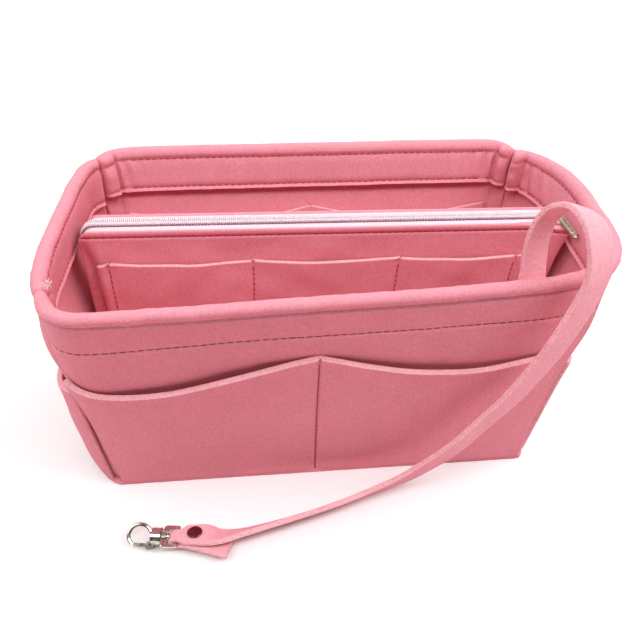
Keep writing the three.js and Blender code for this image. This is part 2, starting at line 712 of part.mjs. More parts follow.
function strapGeometry() {
  const { points, foldStart, foldEnd } = strapPath();
  const line = new THREE.CatmullRomCurve3(points.map((p) => p.point), false, "centripetal");
  const sides = new THREE.CatmullRomCurve3(points.map((p) => p.across), false, "centripetal");
  const foldShare = foldStart / (points.length - 1);
  const runParts = spread(0, foldShare, strapSteps).slice(0, -1);
  const foldParts = spread(foldShare, 1, 2 * (points.length - foldStart));
  const halfThick = strapThickness / 2;
  const square = [[-1, -1], [1, -1], [1, 1], [-1, 1]];
  const rings = [...runParts, ...foldParts].map((t) => {
    const centre = line.getPoint(t);
    const ahead = line.getTangent(t);
    const across = sides.getPoint(t);
    across.addScaledVector(ahead, -across.dot(ahead)).normalize();
    const face = new THREE.Vector3().crossVectors(ahead, across);
    const place = t * (points.length - 1);
    const gathered = THREE.MathUtils.smoothstep(place, foldStart, foldStart + strapGatherPoints);
    const freed = THREE.MathUtils.smoothstep(place, foldEnd, foldEnd + strapFreeingPoints);
    const half = lerp(strapWidth, strapFoldWidth, gathered * (1 - freed)) / 2;
    return square.map(([a, b]) => {
      const edge = centre.clone().addScaledVector(across, a * half);
      return edge.addScaledVector(face, b * halfThick);
    });
  });
  return loft(rings, square.map(([a, b]) => new THREE.Vector2(a, b)));
}

const rivetHole = barZ(rivetPost + 2 * gap, -rivetCap, rivetCap, -rivetSetBack);
rivetHole.applyMatrix4(hookFrame);
addMesh(organizer, "key_strap", combine([strapGeometry()], [rivetHole]), strapMaterial);

// Rivet: a domed cap with its post, and the base that the post closes into.
const capFoot = foldRadius + strapThickness / 2 + gap;
const baseTop = tailAtRivet - strapThickness / 2 - gap;
const baseBore = rivetPost / 2 + gap;

const capTop = capFoot + rivetCapRim;
const capDome = spread(0, Math.PI / 2, 4).map((a) => [
  (rivetCap / 2) * Math.cos(a),
  capTop + (rivetCapHeight - rivetCapRim) * Math.sin(a),
]);
const capProfile = [
  [0, baseTop - rivetBaseHeight],
  [rivetPost / 2, baseTop - rivetBaseHeight],
  [rivetPost / 2, capFoot],
  [rivetCap / 2, capFoot],
  ...capDome,
];
const baseProfile = [
  [baseBore, baseTop],
  [baseBore, baseTop - rivetBaseHeight],
  [rivetBase / 2 - gap, baseTop - rivetBaseHeight],
  [rivetBase / 2, baseTop - rivetBaseHeight / 2],
  [rivetBase / 2, baseTop],
  [baseBore, baseTop],
];

function turned(profile, sides) {
  const points = profile.map(([r, z]) => new THREE.Vector2(r, z));
  return new THREE.LatheGeometry(points, sides).rotateX(Math.PI / 2);
}

const rivet = new THREE.Group();
rivet.position.x = -rivetSetBack;
hook.add(rivet);
addMesh(rivet, "rivet_cap", combine([turned(capProfile, 28)]), rivetMaterial);
addMesh(rivet, "rivet_base", combine([turned(baseProfile, 28)]), rivetMaterial);

// Eye that the strap is folded through, with a boss for the swivel pin.
const eyeInner = strapFoldWidth / 2 + eyeSideClearance;
const eyeOuter = eyeInner + eyeBar;
const bossFoot = eyeBar / 2 + eyeOpening;
const eyeEnd = bossFoot + eyeBossLength;
const eyeCentre = (eyeEnd - eyeBar / 2) / 2;
const eyeShape = rectangle(eyeEnd + eyeBar / 2, 2 * eyeOuter, eyeBar);
const eyeWindow = rectangle(eyeOpening, 2 * eyeInner, eyeWindowCorner);
const shiftWindow = (eyeBar + eyeOpening) / 2 - eyeCentre;
eyeShape.holes.push(new THREE.Path(eyeWindow.getPoints(3).map((p) => p.setX(p.x + shiftWindow)).reverse()));
const eyeEdge = eyeBar / 4;
const eyePlate = new THREE.ExtrudeGeometry(eyeShape, {
  depth: eyeBar - 2 * eyeEdge,
  curveSegments: 3,
  bevelThickness: eyeEdge,
  bevelSize: eyeEdge,
  bevelOffset: -eyeEdge,
  bevelSegments: 2,
});
eyePlate.translate(eyeCentre, 0, eyeEdge - eyeBar / 2);
const swivelBore = barX(swivelPin + 2 * pinPlay, bossFoot - gap, eyeEnd + gap);
const eye = combine([eyePlate, barX(eyeBoss, bossFoot, eyeEnd)], [swivelBore]);
addMesh(hook, "swivel_eye", eye, nickelMaterial);

// Hook: swivel head, pin and collar on the axis, then a round wire bent into a loop up to the nose.
const headTop = bossFoot - gap;
const collarFoot = eyeEnd + gap;
const collarTop = collarFoot + collarLength;
const loopX = collarTop + hookLength / 2 - hookWire / 4;
const loopA = hookLength / 2 - hookWire / 2;
const loopB = (hookWidth - hookWire) / 2;
const gateRoot = new THREE.Vector2(collarTop + gateLugAhead, -loopB + gateLugInset);

const wireBends = [new THREE.Vector3(collarTop - hookWire / 2, 0, 0)];
for (const angle of spread(hookShoulder, hookNose, 8)) {
  wireBends.push(new THREE.Vector3(loopX + loopA * Math.cos(angle), loopB * Math.sin(angle), 0));
}
const wireLine = new THREE.CatmullRomCurve3(wireBends, false, "centripetal");
const wireShape = new THREE.Shape().absarc(0, 0, hookWire / 2, 0, 2 * Math.PI);
const wireOptions = { steps: 30, extrudePath: wireLine, curveSegments: 5, bevelEnabled: false };
const wire = new THREE.ExtrudeGeometry(wireShape, wireOptions);

const lugHalf = gateLugHeight / 2;
const slotHalf = gateSlot / 2;
const slotBack = gateRoot.x - gateLug / 2 - gap;
const slotFoot = gateRoot.y - gateLug;
const slotTop = gateRoot.y + gateSlotRise;
const hookBody = combine(
  [
    barX(swivelHead, headTop - swivelHeadHeight, headTop),
    barX(swivelPin, headTop - swivelHeadHeight / 2, collarFoot + collarLength / 2),
    barX(collarWidth, collarFoot, collarTop, 0, 0, 24),
    barZ(gateLug, -lugHalf, lugHalf, gateRoot.x, gateRoot.y),
    box(collarTop - collarLength / 2, gateRoot.x, gateRoot.y, 0, -lugHalf, lugHalf),
    wire,
  ],
  [
    box(slotBack, gateRoot.x + gateLug, slotFoot, slotTop, -slotHalf, slotHalf),
    barZ(gatePin + 2 * pinPlay, -gateLugHeight, gateLugHeight, gateRoot.x, gateRoot.y, 12),
  ],
);
const swivel = new THREE.Group();
swivel.rotation.x = hookRoll;
hook.add(swivel);
addMesh(swivel, "hook_body", hookBody, nickelMaterial);

// Gate: a bar from its knuckle in the slot up to the nose, short enough to swing past it into the loop.
const gate = new THREE.Group();
gate.position.set(gateRoot.x, gateRoot.y, 0);
swivel.add(gate);

const nose = wireLine.getPoint(1);
const gateReach = nose.x - hookWire / 2 - gap - gateRoot.x;
const gateHeight = gateSlot - 2 * gap;
const gateHalf = gateHeight / 2;
const knuckle = gateLug - 2 * gap - springLeaf * 2;
const gateBody = combine(
  [
    barZ(knuckle, -gateHalf, gateHalf, 0, 0, 16),
    box(0, gateReach, -gateBar / 2, gateBar / 2, -gateHalf, gateHalf),
  ],
  [barZ(gatePin + 2 * pinPlay, -gateSlot, gateSlot, 0, 0, 12)],
);
addMesh(gate, "hook_gate", gateBody, nickelMaterial);
addMesh(gate, "gate_pin", barZ(gatePin, -lugHalf, lugHalf, 0, 0, 12), nickelMaterial);

// Leaf spring in the slot behind the knuckle.
const springFoot = -(gateLug - gap + springLeaf) / 2;
const springTop = springFoot + springLeaf;
const springHalf = knuckle / 3;
const leaf = box(springFoot, springTop, -springHalf, springHalf, -gateHalf, gateHalf);
addMesh(gate, "gate_spring", leaf, nickelMaterial);

export default organizer;
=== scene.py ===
"""Looks of a felt organizer insert, built round its CAD frame.

It makes the sewn felt tub, the zipped pouch, the key strap and the swivel hook.
"""

import math

import bmesh
import bpy
import numpy as np
from bpy.props import FloatProperty, FloatVectorProperty, PointerProperty
from mathutils import Matrix, Vector


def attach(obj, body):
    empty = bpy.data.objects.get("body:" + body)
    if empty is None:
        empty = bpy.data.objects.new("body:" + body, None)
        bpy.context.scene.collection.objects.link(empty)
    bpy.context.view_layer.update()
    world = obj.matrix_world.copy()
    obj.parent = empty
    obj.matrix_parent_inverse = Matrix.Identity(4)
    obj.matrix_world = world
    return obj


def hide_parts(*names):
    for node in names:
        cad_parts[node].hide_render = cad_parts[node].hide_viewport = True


bl_info = {
    "name": "Felt organizer insert",
    "version": (1, 0, 0),
    "blender": (4, 5, 0),
    "location": "View3D > Sidebar > Organizer",
    "description": "Felt, thread, zip and metal of a handbag organizer on its CAD frame",
    "category": "Object",
}

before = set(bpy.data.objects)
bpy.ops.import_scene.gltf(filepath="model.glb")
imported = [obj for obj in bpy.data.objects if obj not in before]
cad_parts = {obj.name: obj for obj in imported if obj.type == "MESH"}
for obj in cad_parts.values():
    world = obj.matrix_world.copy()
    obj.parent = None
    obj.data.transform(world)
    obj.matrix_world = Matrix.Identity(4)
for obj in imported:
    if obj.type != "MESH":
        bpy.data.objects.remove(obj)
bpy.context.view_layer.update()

MM = 0.001

# The tub's form, in millimetres, as the CAD solids have it.
FELT = 3.0
GAP = 0.3
HEM_THICK = 2 * FELT + GAP
TUB_HEIGHT = 160.0
HEM_DEPTH = 29.0
FOOT_HALF = (128.7, 55.2)
RIM_HALF = (136.0, 69.0)
BOW_RISE = 2.6
BELLY_SQUARENESS = 12
SWELL_HEIGHT = {"left": 119.0, "right": 119.0}
SWELL_REACH = 23.0
WALLS = {
    "front": {"turn": 0, "size": 0, "bow": 18.3, "skew": -0.38, "square": (18, 7), "belly": 0,
              "swell": 0, "hem": 29.0, "sag": 3.8, "next": "right", "last": "left"},
    "right": {"turn": 1, "size": 1, "bow": 21.0, "skew": 0.32, "square": (5, 2.8), "belly": 0,
              "swell": 3.5, "hem": 24.0, "next": "back", "last": "front"},
    "back": {"turn": 2, "size": 0, "bow": 15.5, "skew": 0.0, "square": (20, 16), "belly": 0,
             "swell": 0, "hem": 24.0, "next": "left", "last": "right"},
    "left": {"turn": 3, "size": 1, "bow": 7.2, "skew": 0.0, "square": (6, 3), "belly": 10,
             "swell": 5.0, "hem": 28.5, "next": "front", "last": "back"},
}
# How far the two front corners stand out at the height of the swell.
CORNER_SWELL = {"left": 3.4, "right": 3.6}
CORNER_START = 0.5
# Room that the pouch was cut for, before the walls sagged outwards.
POUCH_ROOM = {
    "left": dict(WALLS["left"], bow=6.0, swell=0),
    "right": dict(WALLS["right"], bow=18.5, swell=0),
}
# Seam allowance inside the corners: width and height of its ridge, whether the ridge is flat,
# gathers beside it and depth of the valley along the seam.
CORNER_RIDGES = {
    ("back", 1): (9.5, 3.0, True, 1.0, 1.5),
    ("back", -1): (8.5, 4.0, False, 1.3, 0.0),
    ("right", 1): (8.5, 5.6, False, 1.4, 0.0),
    ("right", -1): (6.0, 2.2, False, 0.4, 0.8),
    ("left", 1): (6.0, 1.6, False, 0.2, 0.8),
    ("left", -1): (0.0, 0.0, False, 0.0, 1.0),
    ("front", 1): (0.0, 0.0, False, 0.4, 0.5),
    ("front", -1): (0.0, 0.0, False, 0.4, 0.5),
}
FOOT = FELT + GAP
HEM_EDGE = TUB_HEIGHT - HEM_DEPTH
ROW_HIGH_OUT = TUB_HEIGHT - 6.4
ROW_HIGH_IN = TUB_HEIGHT - 5.0
ROW_ABOVE_EDGE = 1.8
ROW_END = 2.5
RIDGE_CLEAR = 1.6
ROW_POINTS = 240
ROW_PHASE = 1.1
INNER_GROOVE = 0.3

# Section of a wall. A groove's points have a depth of their own, a share of the groove's depth and
# a rise over the stitch row. The points of the bends have a depth and a rise.
FACE, CUT = 0, 1
FOOT_ROUND = [(0.3, 0), (0.02, 0.8)]
LOW_GROOVE_OUT = [
    (-0.05, 0, -2.2), (0, 0.12, -1.2), (0, 0.6, -0.55), (0, 1, 0), (0, 0.6, 0.55), (0, 0.1, 1.3),
    (-0.12, 0, 2.6),
]
HIGH_GROOVE_OUT = [
    (-0.1, 0, -2.6), (0, 0.1, -1.5), (0, 0.6, -0.6), (0, 1, 0), (0, 0.5, 0.55), (-0.35, 0, 1.4),
]
RIM_ROLL = [
    (-0.85, -3.6), (-0.9, -2.2), (-0.55, -0.8), (0.35, 0.4), (1.7, 1.1), (3.3, 1.35), (4.7, 1.1),
    (6.0, 0.35), (6.75, -0.8), (6.95, -2.1), (6.75, -3.4),
]
HIGH_GROOVE_IN = [
    (0, -0.5, 0.55), (0, -1, 0), (0, -0.55, -0.6), (-0.05, 0, -1.5), (0.15, 0, -2.8),
]
LOW_GROOVE_IN = [(0.1, 0, 1.9), (0, -0.5, 0.6), (0, -1, 0), (0, -0.5, -0.55), (0.35, 0, -1.05)]
HEM_CUT = [
    (HEM_THICK + 0.85, 0.3), (HEM_THICK + 0.7, -0.15), (HEM_THICK - 0.8, -0.3), (FELT + 0.6, 0),
]
UNDER_HEM = [(FELT + 0.02, 0.15), (FELT, -0.9)]
OUTER_LOFT = 0.16
INNER_LOFT = 0.18
# Even rows between the bends and grooves, and the room left beside those.
OUTSIDE_ROWS, HEM_ROWS_OUT, HEM_ROWS_IN, INSIDE_ROWS = 22, 5, 6, 18
CLOSE, CLEAR = 4, 5

# Columns near a wall's ends, in millimetres from the corner seam, and the spacing of the others.
END_COLUMNS = (0, 0.5, 1.1, 1.8, 2.6, 3.5, 4.5, *np.arange(5.6, 20, 0.8))
END_REACH = 21.0
WALL_STEP = 2.4

# Folds of the walls' felt at the corners and along the rim.
RIDGE_DEPTHS = (1.8, 4.0)
RIDGE_START = (95, 125)
RIDGE_UNDER_HEM = 0.5
RIDGE_DIP, DIP_PLACE, DIP_WIDTH = 1.7, 0.6, 1.1
RIDGE_BEND = 0.12
RIDGE_STEP = 1.5
RIDGE_WANDER, WANDER_ACROSS = ((0.2, 5, 12),), 0.3
VALLEY_WIDTH = 0.9
GATHER_SPACING = 8.5
GATHER_REACH = 11.0
GATHER_START = 4
GATHER_WANDER, GATHER_ACROSS = ((1.6, 2, 20),), 0.4
HEM_EDGE_ROOM = 2
FAR_OFF = 99.0
WALL_WAVES = ((0.6, 0, 70), (0.3, 1, 24))
RIM_GATHER = 0.112
RIM_WAVES, RIM_ACROSS = ((1, 3, 9),), 0.4
PINCH_REACH = 3.2
PINCH_SQUEEZE = 0.3
PINCH_DROP = 1.3
SAG_START, SAG_REACH = 0.25, 9
RIM_RISE = (9, 3)
PINCH_RISE = (12, 3)
CALM_ENDS = 10
WALL_SEED, WALL_SEED_STEP = 11, 7

# Felt panels: spacing of their points, and sizes that only set how far their edges are rounded.
FINE_STEP = 2.6
INNER_POCKET_STEP = 2.8
WIDE_STEP = 3.0
OUTER_POCKET_HIGH = 100.0
INNER_POCKET_HIGH = 110.0
POUCH_LONG = 266.0
POUCH_POCKET_LONG = 240.0
GUSSET_WIDE = 30.0

# Pockets.
POCKET_EDGE = [
    (-1, 101), (-0.96, 96.4), (-0.88, 93.3), (-0.75, 93.5), (-0.6, 96.8), (-0.42, 104.4),
    (-0.25, 110.8), (-0.05, 115.5), (0.13, 108.6), (0.35, 101.4), (0.58, 98.6), (0.78, 102.2),
    (1, 107),
]
EDGE_READINGS = 400
EDGE_STRETCH = 100
POCKET_SEAM = -0.05
POCKET_GAPE = 3.5
POCKET_THICK = 3.3
POCKET_LEFT = (-0.983, -1.0)
POCKET_RIGHT = (0.992, 0.922)
SEAM_COLUMNS = (-1.6, -0.8, -0.35, 0, 0.35, 0.8, 1.6)
SEAM_DEPTH = 1.6
SEAM_DRAW = 0.5
SEAM_WIDTH, DRAW_WIDTH = 1.0, 5
FRONT_POCKET_WAVES = ((0.3, 61, 60),)
CALM_FOOT, CALM_SIDES = 0.3, 0.1
END_POCKET_REACH = 0.97
END_POCKET_GAPE = 6.0
END_POCKET_SQUARENESS = 8
END_POCKET_FOLD = 0.75
END_POCKET_RISE = 0.6
END_POCKET_TOP = (86, 90)
END_POCKET_WAVES = ((0.35, 81, 45),)
INNER_POCKET_REACH = 0.9
INNER_POCKET_DIP = 0.55
INNER_POCKET_LOW = 113
INNER_POCKET_PEAK = 123
INNER_POCKET_END = 122
INNER_POCKET_GAPE = 0.9
INNER_POCKET_LOOSE = 0.6
INNER_PEAK_CURVE, INNER_END_CURVE = 1.6, 1.1
INNER_SEAM = (0.5, 0, 2.0)

# Stitches that differ from the hem's, and tufts of thread ends: size, number and thickness.
SEAM_STITCH = {"pitch": 3.6, "length": 3.4, "thick": 0.95, "lift": 0.15}
INNER_STITCH = {"pitch": 3.6, "length": 2.9}
DIVIDER_STITCH = {"pitch": 3.4, "length": 2.9, "thick": 0.9, "lift": 0.3}
COIL_STITCH = {"pitch": 1.8, "length": 1.25, "thick": 0.9, "lift": 0.12}
CORNER_TUFT = (2.1, 18, 0.45)
CORNER_TUFT_PLACE = (0.955, 0.3)
CORNER_TUFT_WAY = (0.6, -0.1, 0.8)
SEAM_TUFT = (2.2, 5, 0.4)
INNER_TUFT = (2.6, 6, 0.4)
DIVIDER_TUFT = (2.4, 5, 0.4)

# Pouch.
POUCH_FELT = 2.6
POUCH_BACK = 8.0
POUCH_TURN = math.radians(-1.5)
POUCH_TOP = 147.5
POUCH_TOP_HALF = 11.0
POUCH_LEAN = 9.0 / (POUCH_TOP - FOOT)
POUCH_CLEAR = 0.8
CAD_POUCH_CLEAR = 1.5
POUCH_ROW = 3.6
POUCH_ROUND = {"left": 8.0, "right": 3.0}
POUCH_FOOT_ROUND = 9.0
POUCH_FOOT_END = FOOT + POUCH_FOOT_ROUND
POUCH_GROOVE, POUCH_GROOVE_WIDTH = 0.75, 0.8
POUCH_THREAD = 0.9
POUCH_ROLL = 0.4
POUCH_FLARE = 5.5
FLARE_REACH, FLARE_CURVE = 26, 1.4
FLARE_RISE = (90, 128)
PLEAT_DEPTH, PLEAT_WIDTH = 4.2, 2.0
# Felt pushed up beside the pleat and drawn in at the end seam: height, place and width.
PLEAT_FOLD, PLEAT_TUCK = (1.2, 5.5, 2.6), (2.0, 0, 2.2)
PLEAT_PLACES = (7.5, 3.5)
PLEAT_SLANT = (96, 142)
PLEAT_FOOT = (15, 60)
PLEAT_END = (130, 145)
ROLL_DOWN, ROLL_WIDTH = 1.4, 1.3
CALM_TOP = (4, 16)
POUCH_FRONT_WAVES = ((0.5, 101, 80), (0.2, 102, 26))
POUCH_BACK_WAVES = ((0.5, 111, 70),)
POUCH_POCKET_WAVES = ((0.25, 131, 40),)
BACK_DROP, BACK_DROP_REACH = 1.4, 14
# Rows of points: the even ones from foot to top, then how far down from the top the others are.
MIDDLE_ROWS = (10.5, 20, 40)
UNDER_ROWS = (17, 14, 11.5, 9.4, 8, 7, 6.2, 5.6)
GROOVE_ROWS = (1.5, 1.1, 0.75, 0.4, 0.0, -0.4, -0.75, -1.1, -1.5)
TOP_ROWS = (1.5, 0.9, 0.5, 0.22, 0.07, 0)
GUSSET_FOLD, GUSSET_FOLD_WIDTH = 3.0, 0.2
GUSSET_FOLD_RISE = (FOOT + 12, 70)
GUSSET_DOWN = {"left": 10, "right": 5}
GUSSET_POINTS = 30
FOOT_POINTS = 9
FLOOR_POINTS = 60

# Pocket panel on the pouch's front, with its margins from the pouch's ends and its sewn dividers.
POUCH_POCKET_DOWN = 18.4
POUCH_POCKET_LEFT = 9.2
POUCH_POCKET_RIGHT = 18.0
DIVIDERS = (-37.5, 45.0)
DIVIDER_GROOVE, DIVIDER_WIDTH = 0.8, 1.1
HEMMED_MARGIN = 4.0
MARGIN_ROLL, MARGIN_GROOVE = (1.2, 2.0, 1.7), (0.7, 4.4, 0.9)
POUCH_POCKET_SAG = 1.3
POUCH_POCKET_LOOSE = 0.5
POUCH_POCKET_SINK = 0.2

# Hook: its pieces, and its frame with x to the tip and z out of the strap's upper face.
RIVET_NODES = ("rivet_cap", "rivet_base")
HOOK_NODES = ("swivel_eye", "hook_body", "hook_gate", "gate_pin", "gate_spring")
HOOK_PLACE = Vector((-89.5, -101.3, 6.3))
HOOK_TIP = Vector((-1, 0.13, 0))
HOOK_UP = Vector((0, 0.2, 0.98))

# Key strap: points of its run with the direction across it, in millimetres.
STRAP_WIDTH = 14.0
STRAP_FOLD_WIDTH = 10.4
STRAP_THICK = 2.6
STRAP_LOFT = 0.2
STRAP_ROOT_X = 96.0
STRAP_ROOT_DEPTHS = (33, 26, 19, 12)
STRAP_RUN = [
    (96.9, -66, 156, 0.96, 0.25, 0), (97.2, -61.8, 166, 0.94, 0.33, 0),
    (97.8, -60.2, 175, 0.94, 0.34, 0), (99.2, -61, 184, 0.93, 0.34, -0.1),
    (101.6, -65, 191.5, 0.9, 0.36, -0.3), (105, -71.5, 195, 0.86, 0.34, -0.4),
    (109, -78.5, 193, 0.88, 0.32, -0.3), (112.4, -84, 186.5, 0.92, 0.32, -0.15),
    (114.5, -87.5, 177, 0.94, 0.32, -0.1), (114.8, -89, 167, 0.92, 0.32, -0.2),
    (113, -89.4, 154, 0.88, 0.3, -0.35), (110.4, -89, 141, 0.84, 0.28, -0.45),
    (106.8, -88.4, 126, 0.79, 0.28, -0.52), (101, -87.4, 108, 0.74, 0.28, -0.58),
    (92.8, -86.4, 88.5, 0.72, 0.3, -0.62), (82.4, -84.8, 68.5, 0.7, 0.33, -0.62),
    (70.2, -84.6, 49.5, 0.46, 0.32, -0.9), (57.6, -82, 31.5, 0.38, 0.34, -0.91),
    (44.3, -80.6, 18, 0.28, 0.4, -0.89), (29.8, -81.6, 11, 0.18, 0.48, -0.86),
    (12.1, -86.2, 8.6, 0.12, 0.53, -0.84), (-10, -92.5, 8, 0.06, 0.54, -0.84),
    (-34, -98.5, 7.8, -0.01, 0.56, -0.83), (-54, -102.8, 7.8, -0.07, 0.66, -0.76),
    (-65, -104, 8.1, -0.09, 0.84, -0.54),
]
EYE_BAR = 2.0
RIVET_BACK = 10.5
RIVET_CAP = 8.6
RIVET_PINCH = 1.2
RIVET_ROOM = 1
FOLD_START = -3
BEND_POINTS = 7
STRAP_TAIL = 31.0
TAIL_DROP = 1
TAIL_SPLAY = math.radians(12.4)
STRAP_CUT_IN = 0.6
STRAP_FLAT = 0.9
STRAP_ROUND = [(0.965, 0.97), (0.992, 0.8), (1.0, 0.3)]
STRAP_LOFT_RUN = (60, 130)
STRAP_FRAY_FROM = 0.97
# Points of the fold between which the strap narrows, and widens again.
GATHER_IN, GATHER_OUT = (0, 3), (9, 11)
# Waves: height, seed and length.
STRAP_EDGE_WAVES = ((0.14, 5, 9), (0.08, 6, 3))
STRAP_CUP, CUP_LEVEL = ((0.35, 7, 60),), 0.4
STRAP_FRAY, FRAY_ACROSS = ((0.1, 8, 2.2),), 5
FLAT_POINTS = 9
RUN_POINTS = 260
FOLD_POINTS = 150


# Numbers and curves

def lerp(a, b, t):
    return a + (b - a) * t


def smooth(t, low=0.0, high=1.0):
    t = np.clip((np.asarray(t, float) - low) / (high - low), 0, 1)
    return t * t * (3 - 2 * t)


def near(x, place, width):
    """A soft bump of height 1 round a place."""
    return np.exp(-(((x - place) / width) ** 2))


RIPPLE_WAVES = 7
RIPPLE_SUM = 3.2


def ripple(seed, scale, *coords):
    """Seeded soft waviness of about unit size, with waves of about that many millimetres."""
    rng = np.random.default_rng(seed)
    total = 0.0
    for _ in range(RIPPLE_WAVES):
        heading = rng.normal(size=len(coords))
        heading /= np.linalg.norm(heading)
        turns = 2 * math.pi * rng.uniform(0.6, 1.5) / scale
        phase = rng.uniform(0, 2 * math.pi)
        total = total + np.sin(turns * sum(h * c for h, c in zip(heading, coords)) + phase)
    return total / RIPPLE_SUM


def waviness(waves, *coords, seed=0):
    """Sum of ripples, each given as its height, its seed and the length of its waves."""
    return sum(height * ripple(seed + own, scale, *coords) for height, own, scale in waves)


def bump(x, height, place, width):
    return height * near(x, place, width)


def unit(v):
    return v / np.maximum(np.linalg.norm(v, axis=-1, keepdims=True), 1e-12)


def through(points, places):
    """Centripetal curve through points, read at places counted in points."""
    p = np.asarray(points, float)
    p = np.vstack([2 * p[0] - p[1], p, 2 * p[-1] - p[-2]])
    i = np.clip(np.floor(places).astype(int), 0, len(points) - 2)
    t = (places - i)[:, None]
    p0, p1, p2, p3 = p[i], p[i + 1], p[i + 2], p[i + 3]
    steps = [np.maximum(np.linalg.norm(b - a, axis=1, keepdims=True), 1e-6) ** 0.5
             for a, b in ((p0, p1), (p1, p2), (p2, p3))]
    d0, d1, d2 = steps
    m1 = ((p1 - p0) / d0 - (p2 - p0) / (d0 + d1) + (p2 - p1) / d1) * d1
    m2 = ((p2 - p1) / d1 - (p3 - p1) / (d1 + d2) + (p3 - p2) / d2) * d1
    a = 2 * p1 - 2 * p2 + m1 + m2
    b = -3 * p1 + 3 * p2 - 2 * m1 - m2
    return ((a * t + b) * t + m1) * t + p1


def run_along(points):
    """Length of a polyline up to each of its points."""
    return np.concatenate([[0], np.cumsum(np.linalg.norm(np.diff(points, axis=0), axis=1))])


def even(points, step):
    """A polyline read at even steps along it."""
    points = np.asarray(points, float)
    run = run_along(points)
    places = np.linspace(0, run[-1], max(2, int(round(run[-1] / step)) + 1))
    return np.stack([np.interp(places, run, points[:, k]) for k in range(points.shape[1])], axis=1)


EDGE_PLACES = (0.0, 0.25, 0.6, 1.4)
EDGE_MARGIN = 2.6


def edged(length, step):
    """Places from 0 to 1 along a length in millimetres, closer at both ends for a rounded edge."""
    ends = np.array(EDGE_PLACES) / length
    margin = EDGE_MARGIN / length
    inner = np.linspace(margin, 1 - margin, max(2, int(length / step)))
    return np.concatenate([ends, inner, 1 - ends[::-1]])


def alike(*values):
    """Values as arrays of one shape."""
    return np.broadcast_arrays(*[np.asarray(v, float) for v in values])


# Meshes

WELD = 1e-6


class Cutting:
    """Points, faces and their material numbers, gathered for one piece."""

    def __init__(self):
        self.points = []
        self.faces = []
        self.marks = []
        self.count = 0

    def add(self, points, faces, mark=0):
        points = np.asarray(points, float).reshape(-1, 3)
        self.points.append(points)
        for k, face in enumerate(faces):
            self.faces.append([int(i) + self.count for i in face])
            self.marks.append(int(mark[k]) if hasattr(mark, "__len__") else mark)
        self.count += len(points)

    def piece(self, name, materials, body, slot):
        mesh = bpy.data.meshes.new(name)
        mesh.from_pydata((np.vstack(self.points) * MM).tolist(), [], self.faces)
        for m in materials:
            mesh.materials.append(m)
        mesh.polygons.foreach_set("material_index", self.marks)
        work = bmesh.new()
        work.from_mesh(mesh)
        bmesh.ops.remove_doubles(work, verts=work.verts, dist=WELD)
        bmesh.ops.recalc_face_normals(work, faces=work.faces)
        work.to_mesh(mesh)
        work.free()
        mesh.shade_smooth()
        obj = bpy.data.objects.new(name, mesh)
        bpy.context.scene.collection.objects.link(obj)
        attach(obj, body)
        return obj


def grid_faces(rows, columns, closed=False, start=0):
    span = columns if closed else columns - 1
    r, c = np.meshgrid(np.arange(rows - 1), np.arange(span), indexing="ij")
    a = start + r * columns + c
    b = start + r * columns + (c + 1) % columns
    return np.stack([a, b, b + columns, a + columns], axis=-1).reshape(-1, 4)


def add_loft(cutting, rings, marks=None, cap=FACE, order=1):
    """Skin over closed rings of points, with a face over each end.

    The first end's points are taken forwards for order 1 and backwards for order -1.
    """
    rows, sides = rings.shape[:2]
    faces = [list(f) for f in grid_faces(rows, sides, True)]
    marks = [FACE] * len(faces) if marks is None else marks
    caps = [list(range(sides))[::order], list(range((rows - 1) * sides, rows * sides))]
    cutting.add(rings, faces + caps, [*marks, cap, cap])


def add_tube(cutting, path, radius, sides=10, closed=False, flat=None):
    """Round bar along a path, in the caller's coordinates. The radius may change along it."""
    path = np.asarray(path, float)
    n = len(path)
    radius = np.broadcast_to(np.asarray(radius, float), (n,))
    if closed:
        ahead = np.roll(path, -1, 0) - np.roll(path, 1, 0)
    else:
        ahead = np.gradient(path, axis=0)
    ahead = unit(ahead)
    ref = np.array([0.0, 0.0, 1.0]) if flat is None else np.asarray(flat, float)
    side = np.cross(ahead, ref)
    weak = np.linalg.norm(side, axis=1) < 1e-3
    side[weak] = np.cross(ahead[weak], [0.0, 1.0, 0.0])
    side = unit(side)
    over = np.cross(side, ahead)
    turn = np.linspace(0, 2 * math.pi, sides, endpoint=False)
    ring = np.cos(turn)[None, :, None] * side[:, None] + np.sin(turn)[None, :, None] * over[:, None]
    points = path[:, None] + ring * radius[:, None, None]
    if not closed:
        add_loft(cutting, points, order=-1)
        return
    last = (n - 1) * sides
    faces = [list(f) for f in grid_faces(n, sides, True)]
    faces += [[last + i, last + (i + 1) % sides, (i + 1) % sides, i] for i in range(sides)]
    cutting.add(points, faces)


def apply(matrix, points):
    m = np.array(matrix, float)
    return np.asarray(points, float) @ m[:3, :3].T + m[:3, 3]


def panel_normals(middle, way):
    """Normals of a panel's middle surface, on the side that the given direction points to."""
    normal = unit(np.cross(np.gradient(middle, axis=1), np.gradient(middle, axis=0)))
    return normal * np.where((normal * way).sum(-1, keepdims=True) < 0, -1, 1)


EDGE_ROUND = (0, 0.25, 0.6)
EDGE_FALL = (0.84, 0.96, 1)
CUT_REACH = 0.2


